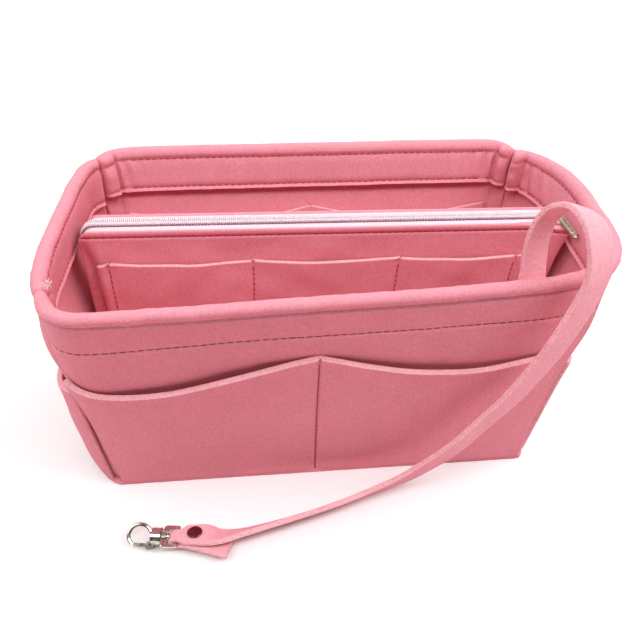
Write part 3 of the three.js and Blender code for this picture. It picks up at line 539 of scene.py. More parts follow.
def add_slab(cutting, middle, normal, thick, edge_rows, edge_columns, cut=CUT):
    """Felt panel from its middle surface: two faces and a cut edge all round, slightly rounded."""
    rows, columns = middle.shape[:2]
    fall = np.minimum(
        np.interp(edge_rows, EDGE_ROUND, EDGE_FALL)[:, None],
        np.interp(edge_columns, EDGE_ROUND, EDGE_FALL)[None, :])
    half = (thick / 2 * fall)[..., None]
    outer = middle - normal * half
    inner = middle + normal * half
    count = rows * columns
    faces = grid_faces(rows, columns)
    r, c = np.meshgrid(np.arange(rows - 1), np.arange(columns - 1), indexing="ij")
    near_row = np.minimum(edge_rows[:-1], edge_rows[1:])[r]
    near_column = np.minimum(edge_columns[:-1], edge_columns[1:])[c]
    marks = np.where((np.minimum(near_row, near_column) < CUT_REACH).reshape(-1), cut, FACE)
    border = [*range(columns), *[k * columns + columns - 1 for k in range(1, rows)],
              *[(rows - 1) * columns + k for k in range(columns - 2, -1, -1)],
              *[k * columns for k in range(rows - 2, 0, -1)]]
    strip = [[a, b, b + count, a + count] for a, b in zip(border, border[1:] + border[:1])]
    every = [list(f) for f in faces] + [list(f + count)[::-1] for f in faces] + strip
    cutting.add(np.concatenate([outer.reshape(-1, 3), inner.reshape(-1, 3)]), every,
                [*marks, *marks, *[cut] * len(strip)])


def edge_gaps(places, length):
    """Distance in millimetres of each place from the nearer end."""
    return np.minimum(places, 1 - places) * length


STITCH_STEP = 0.5
STITCH_POINTS = 7
STITCH_SIDES = 6
STITCH_DIVE = 0.55
STITCH_TAPER = 0.35
STITCH_UNEVEN = (0.92, 1.04)
STITCH_SLANT = 0.06


def add_stitches(cutting, path, normals, pitch, length, thick, lift=0.25, phase=0.0, seed=1):
    """Row of separate stitches on a surface. Each is a short thread that dives into the felt."""
    both = even(np.hstack([path, normals]), STITCH_STEP)
    points, normals = both[:, :3], unit(both[:, 3:])
    run = run_along(points)
    rng = np.random.default_rng(seed)
    beats = np.arange(pitch / 2 + phase, run[-1] - length / 2, pitch)
    share = np.linspace(-0.5, 0.5, STITCH_POINTS)
    bow = lift * (1 - (2 * share) ** 4) - thick * STITCH_DIVE * (2 * np.abs(share)) ** 6
    girth = thick / 2 * (1 - STITCH_TAPER * np.abs(2 * share) ** 3)
    for beat in beats:
        at = beat + share * length * rng.uniform(*STITCH_UNEVEN)
        line = np.stack([np.interp(at, run, points[:, k]) for k in range(3)], axis=1)
        out = unit(np.stack([np.interp(at, run, normals[:, k]) for k in range(3)], axis=1))
        slant = unit(np.cross(out, np.gradient(line, axis=0))) * rng.normal(0, STITCH_SLANT)
        line = line + out * bow[:, None] + slant * share[:, None] * 2
        add_tube(cutting, line, girth, STITCH_SIDES, flat=out[STITCH_POINTS // 2])


TUFT_POINTS = 6
TUFT_SIDES = 5
TUFT_RISE = (0.3, 1.0)
TUFT_SPREAD = 0.75
TUFT_CURL = 0.5
TUFT_LENGTH = (0.6, 1.1)
TUFT_BEND = 0.6
TUFT_TAPER = 0.55


def add_tuft(cutting, place, out, size, count, thick, seed):
    """Loose thread ends, curled, from one point."""
    rng = np.random.default_rng(seed)
    place = np.asarray(place, float)
    out = unit(np.asarray(out, float))
    girth = thick / 2 * np.linspace(1, TUFT_TAPER, TUFT_POINTS)
    t = np.linspace(0, 1, TUFT_POINTS)[:, None]
    for _ in range(count):
        heading = unit(out * rng.uniform(*TUFT_RISE) + rng.normal(0, TUFT_SPREAD, 3))
        curl = rng.normal(0, TUFT_CURL, 3)
        straight = heading * t * size * rng.uniform(*TUFT_LENGTH)
        add_tube(cutting, place + straight + curl * t * t * size * TUFT_BEND, girth, TUFT_SIDES)


# Walls of the tub

def turned(turn, p):
    x, y, z = p[..., 0], p[..., 1], p[..., 2]
    x, y = [(x, y), (-y, x), (-x, -y), (y, -x)][turn]
    return np.stack([x, y, z], axis=-1)


def seam_half(z):
    share = np.asarray(z, float) / TUB_HEIGHT
    return lerp(FOOT_HALF[0], RIM_HALF[0], share), lerp(FOOT_HALF[1], RIM_HALF[1], share)


def wall_face(wall, u, z):
    """Outer face in the wall's own frame, x along it and +y into the tub."""
    half = seam_half(z)
    along, away = half[wall["size"]], half[1 - wall["size"]]
    rise = np.maximum(z, 0) / TUB_HEIGHT
    square = np.where(u < 0, *wall["square"])
    bow = wall["bow"] * rise ** BOW_RISE * (1 - np.abs(u) ** square) * (1 + wall["skew"] * u)
    bulge = {side: near(z, height, SWELL_REACH) for side, height in SWELL_HEIGHT.items()}
    end = np.abs(u) ** BELLY_SQUARENESS
    belly = wall["belly"] * (1 - rise ** 2) * (1 - end)
    x = u * along
    if wall["turn"] == 0:
        x = x + bulge["right"] * CORNER_SWELL["right"] * smooth(u, CORNER_START, 1)
        x = x - bulge["left"] * CORNER_SWELL["left"] * smooth(-u, CORNER_START, 1)
    for side, turn, front in (("right", 1, u < 0), ("left", 3, u > 0)):
        if wall["turn"] == turn and wall["swell"]:
            swell = wall["swell"] * (1 - end) + CORNER_SWELL[side] * end * front
            belly = belly + bulge[side] * swell
    return np.stack(np.broadcast_arrays(x, -(away + bow + belly), z), axis=-1)


def wall_inward(wall, u, z):
    step = 1e-3
    a = wall_face(wall, np.maximum(-1, u - step), z)
    b = wall_face(wall, np.minimum(1, u + step), z)
    d = b - a
    return unit(np.stack([-d[..., 1], d[..., 0], np.zeros_like(d[..., 0])], axis=-1))


def mitre(wall, end, z):
    own = wall_inward(wall, np.full_like(z, end), z)
    other = wall_inward(WALLS[wall["next" if end > 0 else "last"]], np.full_like(z, -end), z)
    other = np.stack([-end * other[..., 1], end * other[..., 0], other[..., 2]], axis=-1)
    return (own + other) / (1 + (own * other).sum(-1, keepdims=True))


def wall_point(wall, u, z, inset):
    """Point at a depth under the outer face, kept on its own side of the corner mitres."""
    u, z, inset = alike(u, z, inset)
    p = wall_face(wall, u, z) + wall_inward(wall, u, z) * inset[..., None]
    for end in (-1, 1):
        corner = wall_face(wall, np.full_like(z, end), z) + mitre(wall, end, z) * inset[..., None]
        limit = corner[..., 0] - end * GAP / 2
        beyond = (p[..., 0] - limit) * end > 0
        p[..., 0] = np.where(beyond, limit, p[..., 0])
        p[..., 1] = np.where(beyond & (np.abs(u) == 1), corner[..., 1], p[..., 1])
    return p


def wall_length(wall):
    return 2 * RIM_HALF[wall["size"]]


def wall_columns(wall):
    """Places along a wall from -1 to 1, closer near the corners."""
    length = wall_length(wall)
    ends = np.array(END_COLUMNS) / (length / 2)
    reach = 1 - END_REACH / (length / 2)
    inner = np.linspace(-reach, reach, int(length / WALL_STEP))
    return np.concatenate([-1 + ends, inner, (1 - ends)[::-1]])


def low_row(wall):
    """Height of the lower stitch row, just above the edge of the wall's hem."""
    return TUB_HEIGHT - wall["hem"] + ROW_ABOVE_EDGE


def wall_profile(looks, wall):
    """Section of a wall with its hem folded in: depth under the outer face, height, material."""
    row = low_row(wall)
    edge = TUB_HEIGHT - wall["hem"]
    low, high = looks.low_groove, looks.high_groove

    def flat(depth, start, stop, count):
        return [(depth, z, FACE) for z in np.linspace(start, stop, count)]

    def groove(points, face, deep, height):
        return [(face + own + share * deep, height + rise, FACE) for own, share, rise in points]

    def bend(points, height, mark=FACE):
        return [(depth, height + rise, mark) for depth, rise in points]

    keys = bend(FOOT_ROUND, FOOT)
    keys += flat(0, FOOT + CLOSE, row - CLOSE, OUTSIDE_ROWS)
    keys += groove(LOW_GROOVE_OUT, 0, low, row)
    keys += flat(-OUTER_LOFT, row + CLEAR, ROW_HIGH_OUT - CLEAR, HEM_ROWS_OUT)
    keys += groove(HIGH_GROOVE_OUT, 0, high, ROW_HIGH_OUT)
    keys += bend(RIM_ROLL, TUB_HEIGHT)
    keys += groove(HIGH_GROOVE_IN, HEM_THICK, high * INNER_GROOVE, ROW_HIGH_IN)
    keys += flat(HEM_THICK + INNER_LOFT, ROW_HIGH_IN - CLEAR, row + CLOSE, HEM_ROWS_IN)
    keys += groove(LOW_GROOVE_IN, HEM_THICK, low, row)
    keys += bend(HEM_CUT, edge, CUT) + bend(UNDER_HEM, edge)
    keys += flat(FELT, edge - CLEAR, FOOT + CLOSE, INSIDE_ROWS)
    keys += bend([(FELT - depth, rise) for depth, rise in FOOT_ROUND[::-1]], FOOT)
    return np.array(keys, float)


def corner_gap(wall, u):
    return (1 - np.abs(u)) * wall_length(wall) / 2


def corner_ridges(side, looks, u, z, inset, seed):
    """Seam allowance inside the corners and the felt gathered beside it, as a change of depth."""
    wall = WALLS[side]
    edge = TUB_HEIGHT - wall["hem"]
    inside = smooth(inset, *RIDGE_DEPTHS)
    under = RIDGE_UNDER_HEM * smooth(z, *RIDGE_START)
    tall = lerp(under, 1.0, smooth(z, edge - RIDGE_STEP, edge + RIDGE_STEP))
    start = edge + HEM_EDGE_ROOM
    between = np.clip((z - start) / (ROW_HIGH_IN - start), 0, 1)
    face = wall_point(wall, u, z, inset)
    total = 0.0
    for end in (-1, 1):
        seam = wall_point(wall, np.full_like(u, end), z, inset)
        gap = np.linalg.norm(face - seam, axis=-1)
        gap = np.where(u * end > 0, gap, FAR_OFF)
        wide, high, flat, gather, valley = CORNER_RIDGES[side, end]
        if high:
            t = np.clip(gap / wide, 0, 1)
            form = np.sin(math.pi * t)
            if flat:
                form = smooth(t, 0, RIDGE_BEND) * (1 - smooth(t, 1 - RIDGE_BEND, 1))
            wander = 1 + waviness(RIDGE_WANDER, z, gap * WANDER_ACROSS, seed=seed)
            dip = RIDGE_DIP * near(gap, wide + DIP_PLACE, DIP_WIDTH)
            total = total + (high * form * wander - dip) * tall
        total = total - valley * np.exp(-gap / VALLEY_WIDTH)
        beside = np.exp(-np.maximum(gap - wide, 0) / GATHER_REACH)
        beside = beside * smooth(gap, wide, wide + GATHER_START)
        sway = waviness(GATHER_WANDER, z, gap * GATHER_ACROSS, seed=seed)
        turns = 2 * math.pi * gap / GATHER_SPACING + sway
        folds = np.sin(turns + seed) * np.sqrt(np.sin(math.pi * between))
        total = total + looks.pucker * gather * beside * folds
    return total * inside


def wall_relief(side, looks, u, z, inset, seed):
    """How far the felt wanders off its even form in depth, and how far the rim drops at seams."""
    wall = WALLS[side]
    s = u * wall_length(wall) / 2
    waves = looks.waviness * waviness(WALL_WAVES, s, z, seed=seed)
    room = corner_gap(wall, u)
    folds = corner_ridges(side, looks, u, z, inset, seed)
    rim, seamed = [
        smooth(z, TUB_HEIGHT - low, TUB_HEIGHT - high) for low, high in (RIM_RISE, PINCH_RISE)]
    gather = waviness(RIM_WAVES, s, z * RIM_ACROSS, seed=seed)
    gather = RIM_GATHER * looks.pucker * rim * gather
    pinch = np.exp(-room / PINCH_REACH) * seamed
    squeeze = (HEM_THICK / 2 - inset) * PINCH_SQUEEZE * pinch
    waves = waves * smooth(room, 0, CALM_ENDS)
    return waves + folds + gather + squeeze, PINCH_DROP * pinch


def wall_surface(side, looks, u, z, inset):
    """Finished surface of a wall, in the row frame."""
    wall = WALLS[side]
    seed = WALL_SEED + WALL_SEED_STEP * wall["turn"]
    u, z, inset = alike(u, z, inset)
    sag = wall.get("sag", 0) * smooth(-u, SAG_START, 1)
    z = z - sag * near(z, low_row(wall), SAG_REACH)
    shift, drop = wall_relief(side, looks, u, z, inset, seed)
    p = wall_point(wall, u, z, inset + shift)
    p[..., 2] -= drop
    return turned(wall["turn"], p)


def wall_normal(side, u, z, sign):
    wall = WALLS[side]
    u, z = alike(u, z)
    level = wall_inward(wall, u, z)
    rise = wall_face(wall, u, z + 0.5) - wall_face(wall, u, z - 0.5)
    ahead = np.stack([level[..., 1], -level[..., 0], np.zeros_like(z)], axis=-1)
    out = unit(np.cross(ahead, rise))
    out = out * np.where((out * level).sum(-1) > 0, -1, 1)[..., None]
    return turned(wall["turn"], out * sign)


# Materials

def new_material(name):
    """A material with its nodes, its shader and the place on the piece."""
    material = bpy.data.materials.new(name)
    material.use_nodes = True
    tree = material.node_tree
    where = add_node(tree, "ShaderNodeTexCoord").outputs["Object"]
    return material, tree, tree.nodes["Principled BSDF"], where


def set_inputs(node, values):
    for key, value in values.items():
        node.inputs[key].default_value = value


def add_node(tree, kind, values=None, **settings):
    node = tree.nodes.new(kind)
    for key, value in settings.items():
        setattr(node, key, value)
    set_inputs(node, values or {})
    return node


def colour_ramp(tree, source, stops):
    ramp = add_node(tree, "ShaderNodeValToRGB")
    while len(ramp.color_ramp.elements) < len(stops):
        ramp.color_ramp.elements.new(0.5)
    for element, (place, colour) in zip(ramp.color_ramp.elements, stops):
        element.position = place
        element.color = (*colour, 1)
    tree.links.new(source, ramp.inputs["Fac"])
    return ramp.outputs["Color"]


def noise(tree, where, scale, detail=2.0, rough=0.55, distortion=0.0):
    node = add_node(tree, "ShaderNodeTexNoise", {
        "Scale": scale, "Detail": detail, "Roughness": rough, "Distortion": distortion})
    tree.links.new(where, node.inputs["Vector"])
    return node.outputs["Fac"]


def mixed(tree, a, b, share, blend="MIX"):
    node = add_node(tree, "ShaderNodeMix", data_type="RGBA", blend_type=blend)
    for socket, value in ((node.inputs[6], a), (node.inputs[7], b)):
        if isinstance(value, bpy.types.NodeSocket):
            tree.links.new(value, socket)
        else:
            socket.default_value = (*value, 1)
    if isinstance(share, bpy.types.NodeSocket):
        tree.links.new(share, node.inputs[0])
    else:
        node.inputs[0].default_value = share
    return node.outputs[2]


def math_node(tree, operation, a, b):
    node = add_node(tree, "ShaderNodeMath", operation=operation)
    for socket, value in zip(node.inputs, (a, b)):
        if isinstance(value, bpy.types.NodeSocket):
            tree.links.new(value, socket)
        else:
            socket.default_value = value
    return node.outputs[0]


def add_bump(tree, shader, height, strength, distance):
    bump = add_node(tree, "ShaderNodeBump", {"Strength": strength, "Distance": distance})
    tree.links.new(height, bump.inputs["Height"])
    tree.links.new(bump.outputs["Normal"], shader.inputs["Normal"])


def tint(colour, light):
    return tuple(min(1.0, c * light) for c in colour)


def paint(tree, shader, pattern, colour, stops):
    """Base colour in darker and lighter tints of one colour, spread by a pattern."""
    base = colour_ramp(tree, pattern, [(place, tint(colour, light)) for place, light in stops])
    tree.links.new(base, shader.inputs["Base Color"])


# Painted light and shade on the felt: deeper where it faces down, paler where it faces up.
FACING_LIGHT_TINTS = [
    (0.32, (0.97, 0.8, 0.82)), (0.5, (1.0, 1.0, 1.0)), (0.68, (1.02, 1.12, 1.13)),
    (0.97, (0.9, 1.08, 1.06)),
]


def painted_facing_light(tree):
    """Painted light and shade: paler where the felt faces up, deeper where it faces down, as if lit
    from above.
    """
    facing = add_node(tree, "ShaderNodeSeparateXYZ")
    tree.links.new(add_node(tree, "ShaderNodeTexCoord").outputs["Normal"], facing.inputs[0])
    height = math_node(tree, "MULTIPLY", math_node(tree, "ADD", facing.outputs["Z"], 1.0), 0.5)
    return colour_ramp(tree, height, FACING_LIGHT_TINTS)


# Scales of the felt's patterns, per metre, and depth of its bump in metres.
FIBRE_SCALE = 900
SPECK_SCALE = 2300
CUT_SPECK_SCALE = 1500
BLOTCH_SCALE = 60
FELT_BUMP = 0.0006
FACE_GRAIN = 0.09
CUT_GRAIN = 0.15
STRAP_CUT_GRAIN = 0.17
FINE_BUMP = 0.0001


def felt_material(name, colour, looks, cut=False, grain=FACE_GRAIN):
    """Pressed felt: matted fibres as fine streaks and specks, soft blotches, a fuzzy sheen."""
    material, tree, shader, where = new_material(name)
    fibres = noise(tree, where, FIBRE_SCALE, detail=4, rough=0.7, distortion=1.6)
    specks = noise(tree, where, CUT_SPECK_SCALE if cut else SPECK_SCALE, detail=2, rough=0.6)
    blotches = noise(tree, where, BLOTCH_SCALE, detail=3, rough=0.6, distortion=0.4)
    base = colour_ramp(tree, fibres, [
        (0.28, tint(colour, 0.76)), (0.5, colour), (0.72, tint(colour, 1.18))])
    grains = colour_ramp(tree, specks, [(0.36, (1 - grain,) * 3), (0.64, (1 + grain,) * 3)])
    base = mixed(tree, base, grains, 1.0, "MULTIPLY")
    clouds = colour_ramp(tree, blotches, [(0.3, (0.975, 0.97, 0.975)), (0.7, (1.02, 1.02, 1.02))])
    base = mixed(tree, base, clouds, 1.0, "MULTIPLY")
    # Painted light and shade: the felt is tinted paler where it faces up and deeper where it faces
    # down.
    base = mixed(tree, base, painted_facing_light(tree), 1.0, "MULTIPLY")
    tree.links.new(base, shader.inputs["Base Color"])
    set_inputs(shader, {
        "Roughness": 0.92, "Specular IOR Level": 0.12, "Sheen Weight": looks.sheen,
        "Sheen Roughness": 0.45, "Sheen Tint": (1.0, 0.86, 0.89, 1)})
    coarse = math_node(tree, "MULTIPLY", fibres, 0.65)
    fine = math_node(tree, "MULTIPLY", specks, 0.5)
    height = math_node(tree, "ADD", coarse, fine)
    add_bump(tree, shader, height, looks.fuzz * (1.5 if cut else 1.0), FELT_BUMP)
    return material


def thread_material(name, colour):
    """Sewing thread with the slant of its plies."""
    material, tree, shader, where = new_material(name)
    wave = add_node(tree, "ShaderNodeTexWave", {"Scale": 1500.0, "Distortion": 1.5},
                    bands_direction="DIAGONAL")
    tree.links.new(where, wave.inputs["Vector"])
    plies = wave.outputs["Fac"]
    paint(tree, shader, plies, colour, [(0.2, 0.75), (0.8, 1.15)])
    set_inputs(shader, {"Roughness": 0.8, "Specular IOR Level": 0.15, "Sheen Weight": 0.03})
    add_bump(tree, shader, plies, 0.4, FINE_BUMP)
    return material


def tape_material(name, colour):
    """Woven zip tape: crossed fine waves for warp and weft."""
    material, tree, shader, where = new_material(name)
    weaves = []
    for axis in ("X", "Y"):
        weave = add_node(
            tree, "ShaderNodeTexWave", {"Scale": 480.0, "Distortion": 0.6, "Detail": 1.0},
            bands_direction=axis)
        tree.links.new(where, weave.inputs["Vector"])
        weaves.append(weave.outputs["Fac"])
    cloth = math_node(tree, "MULTIPLY", weaves[0], weaves[1])
    paint(tree, shader, cloth, colour, [(0.0, 0.8), (0.6, 1.08)])
    set_inputs(shader, {"Roughness": 0.85, "Specular IOR Level": 0.15, "Sheen Weight": 0.05})
    add_bump(tree, shader, cloth, 0.5, 2 * FINE_BUMP)
    return material


def nylon_material(name, colour):
    """Slightly clear nylon of the zip's coil."""
    material, tree, shader, where = new_material(name)
    cloud = noise(tree, where, 700, detail=2)
    paint(tree, shader, cloud, colour, [(0.3, 0.9), (0.7, 1.08)])
    set_inputs(shader, {
        "Roughness": 0.38, "Subsurface Weight": 0.15,
        "Subsurface Radius": (0.0006, 0.0005, 0.0005)})
    add_bump(tree, shader, cloud, 0.1, FINE_BUMP)
    return material


def metal_material(name, colour, rough):
    """Plated metal: faint polishing marks and handling haze."""
    material, tree, shader, where = new_material(name)
    haze = noise(tree, where, 350, detail=3, rough=0.6)
    marks = noise(tree, where, 2600, detail=2, rough=0.5, distortion=2.0)
    paint(tree, shader, haze, colour, [(0.3, 0.92), (0.7, 1.06)])
    set_inputs(shader, {"Metallic": 1.0})
    spread = colour_ramp(tree, haze, [(0.3, (rough * 0.8,) * 3), (0.7, (rough * 1.5,) * 3)])
    tree.links.new(spread, shader.inputs["Roughness"])
    add_bump(tree, shader, marks, 0.06, FINE_BUMP)
    return material


def floor_material(colour):
    """Matte studio paper."""
    material, tree, shader, where = new_material("studio_paper")
    grain = noise(tree, where, 40, detail=2)
    paint(tree, shader, grain, colour, [(0.3, 0.995), (0.7, 1)])
    set_inputs(shader, {"Roughness": 0.9, "Specular IOR Level": 0.1})
    return material


def kept(name, make, *args):
    """A material by name, made on its first use."""
    return bpy.data.materials.get(name) or make(name, *args)


def felts(context):
    looks = context.scene.organizer_felt
    return [
        kept("felt_face", felt_material, tuple(looks.colour), looks),
        kept("felt_cut_edge", felt_material, tuple(looks.cut_colour), looks, True, CUT_GRAIN),
    ]


def thread(context):
    return kept("sewing_thread", thread_material, tuple(context.scene.organizer_stitch.colour))


NICKEL_ROUGH = 0.16
ZIP_METAL_ROUGH = 0.2
RIVET_ROUGH = 0.22


# Settings

COLOUR = {"subtype": "COLOR", "size": 3, "min": 0, "max": 1}
SHARE = {"subtype": "FACTOR", "min": 0, "max": 1}


class OrganizerFelt(bpy.types.PropertyGroup):
    colour: FloatVectorProperty(
        name="Felt", description="Colour of the felt's face",
        default=(0.76, 0.245, 0.295), **COLOUR)
    cut_colour: FloatVectorProperty(
        name="Cut edge", description="Colour of the felt's cut edges",
        default=(0.88, 0.38, 0.42), **COLOUR)
    strap_colour: FloatVectorProperty(
        name="Strap", description="Colour of the key strap's face",
        default=(0.86, 0.345, 0.395), **COLOUR)
    sheen: FloatProperty(
        name="Sheen", description="Soft light that loose fibres scatter", default=0.06, **SHARE)
    fuzz: FloatProperty(
        name="Fuzz", description="Roughness of the matted fibres", default=0.5, **SHARE)
    waviness: FloatProperty(
        name="Waviness", description="How far the walls wander off an even form, in millimetres",
        default=0.5, min=0)
    pucker: FloatProperty(
        name="Puckers", description="Depth of the gathers at the sewn corners, in millimetres",
        default=1.5, min=0)
    low_groove: FloatProperty(
        name="Lower groove", description="Depth of the lower hem row in the felt, in millimetres",
        default=0.8, min=0)
    high_groove: FloatProperty(
        name="Upper groove", description="Depth of the row under the rim's roll, in millimetres",
        default=1.5, min=0)


class OrganizerStitch(bpy.types.PropertyGroup):
    # The thread's colour is its own rose made darker, partly painted shade of the sunk seams it
    # lies in.
    colour: FloatVectorProperty(
        name="Thread", description="Colour of the sewing thread",
        default=(0.5, 0.07, 0.11), **COLOUR)
    loose_colour: FloatVectorProperty(
        name="Loose ends", description="Colour of the loose thread ends at the corner",
        default=(0.95, 0.75, 0.78), **COLOUR)
    pitch: FloatProperty(
        name="Pitch", description="Distance between stitches, in millimetres",
        default=4.2, min=1)
    length: FloatProperty(
        name="Length", description="Length of one stitch, in millimetres",
        default=3.7, min=0.5)
    thick: FloatProperty(
        name="Thickness", description="Thickness of the thread, in millimetres",
        default=0.55, min=0.1)


class OrganizerZip(bpy.types.PropertyGroup):
    tape_colour: FloatVectorProperty(
        name="Tape", description="Colour of the woven tape",
        default=(0.92, 0.58, 0.64), **COLOUR)
    coil_colour: FloatVectorProperty(
        name="Coil", description="Colour of the nylon coil",
        default=(0.86, 0.74, 0.79), **COLOUR)
    # The coil thread's near-black is partly painted shade between the coil and the tape.
    stitch_colour: FloatVectorProperty(
        name="Coil thread", description="Colour of the thread that holds the coil",
        default=(0.22, 0.13, 0.17), **COLOUR)
    pitch: FloatProperty(
        name="Coil pitch", description="Distance between coil loops, in millimetres",
        default=1.1, min=0.5)


class OrganizerMetal(bpy.types.PropertyGroup):
    nickel: FloatVectorProperty(
        name="Nickel", description="Colour of the plated hook and eye",
        default=(0.66, 0.63, 0.57), **COLOUR)
    zip: FloatVectorProperty(
        name="Zip metal", description="Colour of the zip's slider and pull",
        default=(0.46, 0.35, 0.26), **COLOUR)
    # Rivet: dark red-brown metal, a painted reflection of the pink felt round it.
    rivet: FloatVectorProperty(
        name="Rivet", description="Colour of the rivet's plating",
        default=(0.22, 0.09, 0.09), **COLOUR)


class OrganizerStage(bpy.types.PropertyGroup):
    floor_colour: FloatVectorProperty(
        name="Floor", description="Colour of the floor", default=(0.84, 0.84, 0.84), **COLOUR)
    floor_size: FloatProperty(
        name="Floor size", description="Side of the floor", default=8.0, unit="LENGTH")
    sky: FloatProperty(name="Sky", description="Even light from all round", default=0.09, min=0)
    right_power: FloatProperty(
        name="Right light", description="Power of the large light at the right",
        default=26.0, unit="POWER")
    left_power: FloatProperty(
        name="Left light", description="Power of the large light at the left",
        default=17.0, unit="POWER")
    front_power: FloatProperty(
        name="Front light", description="Power of the long light above the front",
        default=35.5, unit="POWER")
    back_power: FloatProperty(
        name="Background light", description="Power of the light over the floor behind",
        default=40.0, unit="POWER")
    lens: FloatProperty(
        name="Lens", description="Focal length of the camera, in millimetres",
        default=34.065)
    camera_place: FloatVectorProperty(
        name="Camera", description="Place of the camera",
        size=3, subtype="TRANSLATION", unit="LENGTH", default=(-0.0308, -0.2959, 0.324))
    camera_turn: FloatVectorProperty(
        name="Camera turn", description="Heading, downward pitch and roll of the camera",
        size=3, subtype="EULER",
        default=(math.radians(6.12), math.radians(39.52), math.radians(1.26)))


# Operators

# Studio lights: name, place, target and size in metres, and the setting that holds the power.
LIGHTS = (
    ("right_light", (1.4, 0.1, 1.5), (0.0, 0.0, 0.1), (1.6, 1.6), "right_power"),
    ("left_light", (-1.4, 0.1, 1.5), (0.0, 0.0, 0.1), (1.6, 1.6), "left_power"),
    ("front_light", (0.1, -0.7, 1.72), (0.0, 0.0, 0.1), (3.0, 0.5), "front_power"),
    ("background_light", (0.0, 2.2, 1.8), (0.0, 1.7, 0.0), (2.4, 2.4), "back_power"),
)
FLOOR_DROP = 0.0002
SENSOR_WIDTH = 36
CLIP_START = 0.01


class ORGANIZER_OT_stage(bpy.types.Operator):
    """Makes the floor, the lights and the camera"""

    bl_idname = "organizer.stage"
    bl_label = "Stage"

    def execute(self, context):
        looks = context.scene.organizer_stage
        half = looks.floor_size / 2
        mesh = bpy.data.meshes.new("studio_floor")
        corners = [(-half, -half, 0), (half, -half, 0), (half, half, 0), (-half, half, 0)]
        mesh.from_pydata(corners, [], [(0, 1, 2, 3)])
        mesh.materials.append(floor_material(tuple(looks.floor_colour)))
        floor = bpy.data.objects.new("studio_floor", mesh)
        floor.location.z = -FLOOR_DROP
        context.scene.collection.objects.link(floor)

        world = bpy.data.worlds.new("studio")
        world.use_nodes = True
        sky = world.node_tree.nodes["Background"]
        set_inputs(sky, {"Color": (1, 1, 1, 1), "Strength": looks.sky})
        context.scene.world = world
        for name, place, target, size, power in LIGHTS:
            self.area(context, name, place, target, size, getattr(looks, power))

        heading, pitch, roll = looks.camera_turn
        flat = math.cos(pitch)
        ahead = Vector((math.sin(heading) * flat, math.cos(heading) * flat, -math.sin(pitch)))
        level = Vector((math.cos(heading), -math.sin(heading), 0))
        over = level.cross(ahead)
        right = level * math.cos(roll) + over * math.sin(roll)
        up = over * math.cos(roll) - level * math.sin(roll)
        camera = bpy.data.cameras.new("photo_camera")
        camera.lens = looks.lens
        camera.sensor_width = SENSOR_WIDTH
        camera.clip_start = CLIP_START
        obj = bpy.data.objects.new("photo_camera", camera)
        turn = Matrix((right, up, -ahead)).transposed().to_4x4()
        obj.matrix_world = Matrix.Translation(looks.camera_place) @ turn
        context.scene.collection.objects.link(obj)
        context.scene.camera = obj
        context.scene.view_settings.view_transform = "Standard"
        return {"FINISHED"}

    @staticmethod
    def area(context, name, place, target, size, power):
        light = bpy.data.lights.new(name, "AREA")
        light.shape = "RECTANGLE"
        light.size, light.size_y = size
        light.energy = power
        obj = bpy.data.objects.new(name, light)
        obj.location = place
        obj.rotation_euler = (Vector(target) - Vector(place)).to_track_quat("-Z", "Y").to_euler()
        context.scene.collection.objects.link(obj)


def hook_frame():
    """Place of the swivel's middle, with x to the hook's tip and z out of the strap's face."""
    x = HOOK_TIP.normalized()
    z = (HOOK_UP - x * HOOK_UP.dot(x)).normalized()
    y = z.cross(x)
    return Matrix.Translation(HOOK_PLACE) @ Matrix((x, y, z)).transposed().to_4x4()


def strap_route():
    """Centre line of the strap, from its root behind the hem to its tail, and the way across it."""
    wall = WALLS["front"]
    points, across = [], []
    for depth in STRAP_ROOT_DEPTHS:
        z = np.array(TUB_HEIGHT - depth)
        u = STRAP_ROOT_X / seam_half(z)[0]
        into = wall_inward(wall, u, z)
        points.append(wall_face(wall, u, z) + into * (HEM_THICK + 2 * GAP + STRAP_THICK / 2))
        across.append((into[1], -into[0], 0))
    for x, y, z, *way in STRAP_RUN:
        points.append((x, y, z))
        across.append(way)
    run = len(points)
    hook = hook_frame()
    radius = EYE_BAR / 2 + GAP + STRAP_THICK / 2
    flat = RIVET_CAP / 2 + RIVET_ROOM
    tail = RIVET_PINCH - radius

    def fold(x, z, splay=0.0):
        local = Vector((x, math.tan(splay) * (RIVET_BACK + x), z))
        way = Vector((math.sin(-splay), -math.cos(splay), 0))
        points.append(tuple(hook @ local))
        across.append(tuple(hook.to_3x3() @ way))

    for x in (-RIVET_BACK - flat, -RIVET_BACK + flat, FOLD_START):
        fold(x, radius)
    for a in np.linspace(math.pi / 2, -math.pi / 2, BEND_POINTS):
        fold(radius * math.cos(a), radius * math.sin(a))
    fold((flat - RIVET_BACK) / 2, (tail - radius) / 2, -TAIL_SPLAY)
    fold(flat - RIVET_BACK, tail, -TAIL_SPLAY)
    fold(-flat - RIVET_BACK, tail, -TAIL_SPLAY)
    fold(-STRAP_TAIL, tail - TAIL_DROP, -TAIL_SPLAY)
    return np.array(points, float), np.array(across, float), run


